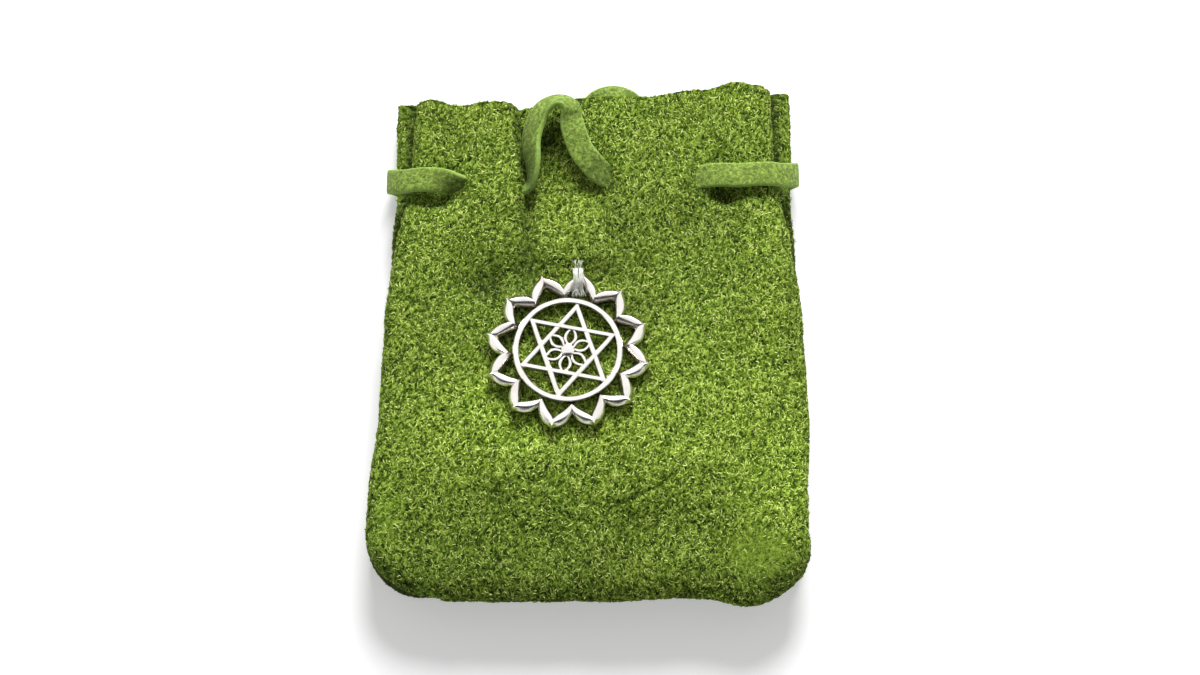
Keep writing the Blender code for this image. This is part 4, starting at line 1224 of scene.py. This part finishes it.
def thread_strand(random, number):
    """The path of one strand over the petal's arm and down into the suede, or with a frayed end."""
    spread = random.uniform(-THREAD_SPREAD, THREAD_SPREAD) / 1000
    wobble = random.normal(0, THREAD_WOBBLE, (2, THREAD_STEPS)) / 1000
    reach = random.uniform(*THREAD_REACHES) / 1000
    path = []
    for k in range(THREAD_STEPS):
        angle = math.pi * (k / (THREAD_STEPS - 1) - 0.5)
        over = max(0.0, math.cos(angle))
        x = spread * (1 + 0.3 * abs(math.sin(angle))) + wobble[0, k] / 2
        z = THREAD_ARCH * over**0.55 - THREAD_DEPTH * (1 - over**0.4) + wobble[1, k] / 2
        path.append(Vector((x, reach * math.sin(angle), z)))
    if number % 2 == 0:
        end = 1 if number % 4 == 0 else -1
        lean = random.normal(0, FRAYED_LEAN)
        path = path[2:-2]
        start = path[-1] if end == 1 else path[0]
        tail = []
        for n in range(1, 4):
            rise = FRAYED_RISE * math.sin(0.9 * n)
            tail.append(start + Vector((lean * n * FRAYED_SIDE_STEP, end * n * FRAYED_STEP, rise)))
        path = path + tail if end == 1 else tail[::-1] + path
    return [spot + Vector(SEWN_SPOT) for spot in path]


def thread_tube(path):
    """Points and faces of a thin closed tube along a path."""
    points = []
    for k, spot in enumerate(path):
        ahead = (path[min(k + 1, len(path) - 1)] - path[max(k - 1, 0)]).normalized()
        across = ahead.cross(Vector((1, 0, 0.2))).normalized()
        up = ahead.cross(across)
        for n in range(THREAD_SIDES):
            angle = 2 * math.pi * n / THREAD_SIDES
            points.append(spot + (across * math.cos(angle) + up * math.sin(angle)) * THREAD_RADIUS)
    index = np.arange(len(points)).reshape(len(path), THREAD_SIDES).T
    faces = grid_faces(np.concatenate((index, index[:1])))
    return np.array(points), faces + [tuple(index[:, 0]), tuple(index[:, -1])]


def make_thread():
    """Pale strands of thread over the top petal's arm and through the suede, with frayed ends."""
    random = np.random.default_rng(THREAD_SEED)
    points, faces = joined([thread_tube(thread_strand(random, n)) for n in range(THREAD_STRANDS)])
    mesh = bpy.data.meshes.new("frayed_thread")
    mesh.from_pydata(points.tolist(), [], faces)
    mesh.shade_smooth()
    look = Look("pale_thread", Roughness=0.5)
    look.set("Base Color", look.ramp(look.noise(1400, 2), (0.3, 206, 210, 196), (0.7, 250, 251, 245)))
    thread = add_piece("frayed_thread", mesh, look.material)
    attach(thread, "bag")
    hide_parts("charm_thread")


def dress_seam_thread():
    look = Look("waxed_seam_thread", Roughness=0.6)
    look.set("Base Color", look.ramp(look.noise(1500, 3, 0.6), (0.3, 60, 92, 22), (0.7, 98, 132, 44)))
    look.bump(look.noise(2500, 2), 0.5, 0.0001)
    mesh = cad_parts["seam_thread"].data
    mesh.materials.clear()
    mesh.materials.append(look.material)


def add_camera():
    data = bpy.data.cameras.new("camera")
    data.sensor_width = CAMERA_SENSOR
    data.lens = CAMERA_LENS
    data.clip_start = 0.01
    camera = add_object("camera", data)
    away = Vector((0, -math.cos(CAMERA_ELEVATION), math.sin(CAMERA_ELEVATION)))
    camera.location = CAMERA_TARGET + away * CAMERA_DISTANCE
    camera.rotation_euler = (math.pi / 2 - CAMERA_ELEVATION, 0, 0)
    scene.camera = camera


def add_studio():
    """A pale floor, soft light from everywhere and one large lamp beyond the mouth."""
    mesh = bpy.data.meshes.new("floor")
    corners = [(x * FLOOR_REACH, y * FLOOR_REACH, 0) for x, y in ((-1, -1), (1, -1), (1, 1), (-1, 1))]
    mesh.from_pydata(corners, [], [(0, 1, 2, 3)])
    floor = add_object("floor", mesh)
    look = Look("pale_floor", Roughness=1.0, Specular_IOR_Level=0.0)
    look.set("Base Color", (FLOOR_TONE, FLOOR_TONE, FLOOR_TONE, 1.0))
    path = look.node("ShaderNodeLightPath")
    seen = look.math("MAXIMUM", path.outputs["Is Camera Ray"], path.outputs["Is Glossy Ray"])
    look.set("Emission Color", (1, 1, 1, 1))
    look.set("Emission Strength", look.math("MULTIPLY", seen, FLOOR_GLOW))
    mesh.materials.append(look.material)

    world = bpy.data.worlds.new("studio")
    world.use_nodes = True
    room = Nodes(world.node_tree)
    fill = room.tree.nodes["Background"]
    path = room.node("ShaderNodeLightPath")
    shown = room.math("MAXIMUM", path.outputs["Is Camera Ray"], path.outputs["Is Glossy Ray"])
    room.put(fill.inputs["Strength"], room.math("MULTIPLY_ADD", shown, 1.0 - FILL, FILL))
    place = room.node("ShaderNodeTexCoord").outputs["Generated"]
    along = room.node("ShaderNodeSeparateXYZ", Vector=place).outputs["Y"]
    dim = room.node("ShaderNodeMapRange", Value=along, From_Min=DIM_START, From_Max=DIM_END, To_Max=1 - DIM)
    dimmed = room.math("MULTIPLY", dim.outputs[0], path.outputs["Is Glossy Ray"])
    room.put(fill.inputs["Color"], room.math("SUBTRACT", 1.0, dimmed))
    scene.world = world

    data = bpy.data.lights.new("key", "AREA")
    data.shape = "DISK"
    data.size = LAMP_SIZE
    data.energy = LAMP_ENERGY
    lamp = add_object("key", data)
    lamp.location = LAMP_PLACE
    lamp.rotation_euler = (-LAMP_PLACE).to_track_quat("-Z", "Y").to_euler()


scene.view_settings.view_transform = "Standard"
noise.seed_set(NOISE_SEED)
add_camera()
dress_pouch()
make_charm()
make_thread()
dress_seam_thread()
add_studio()
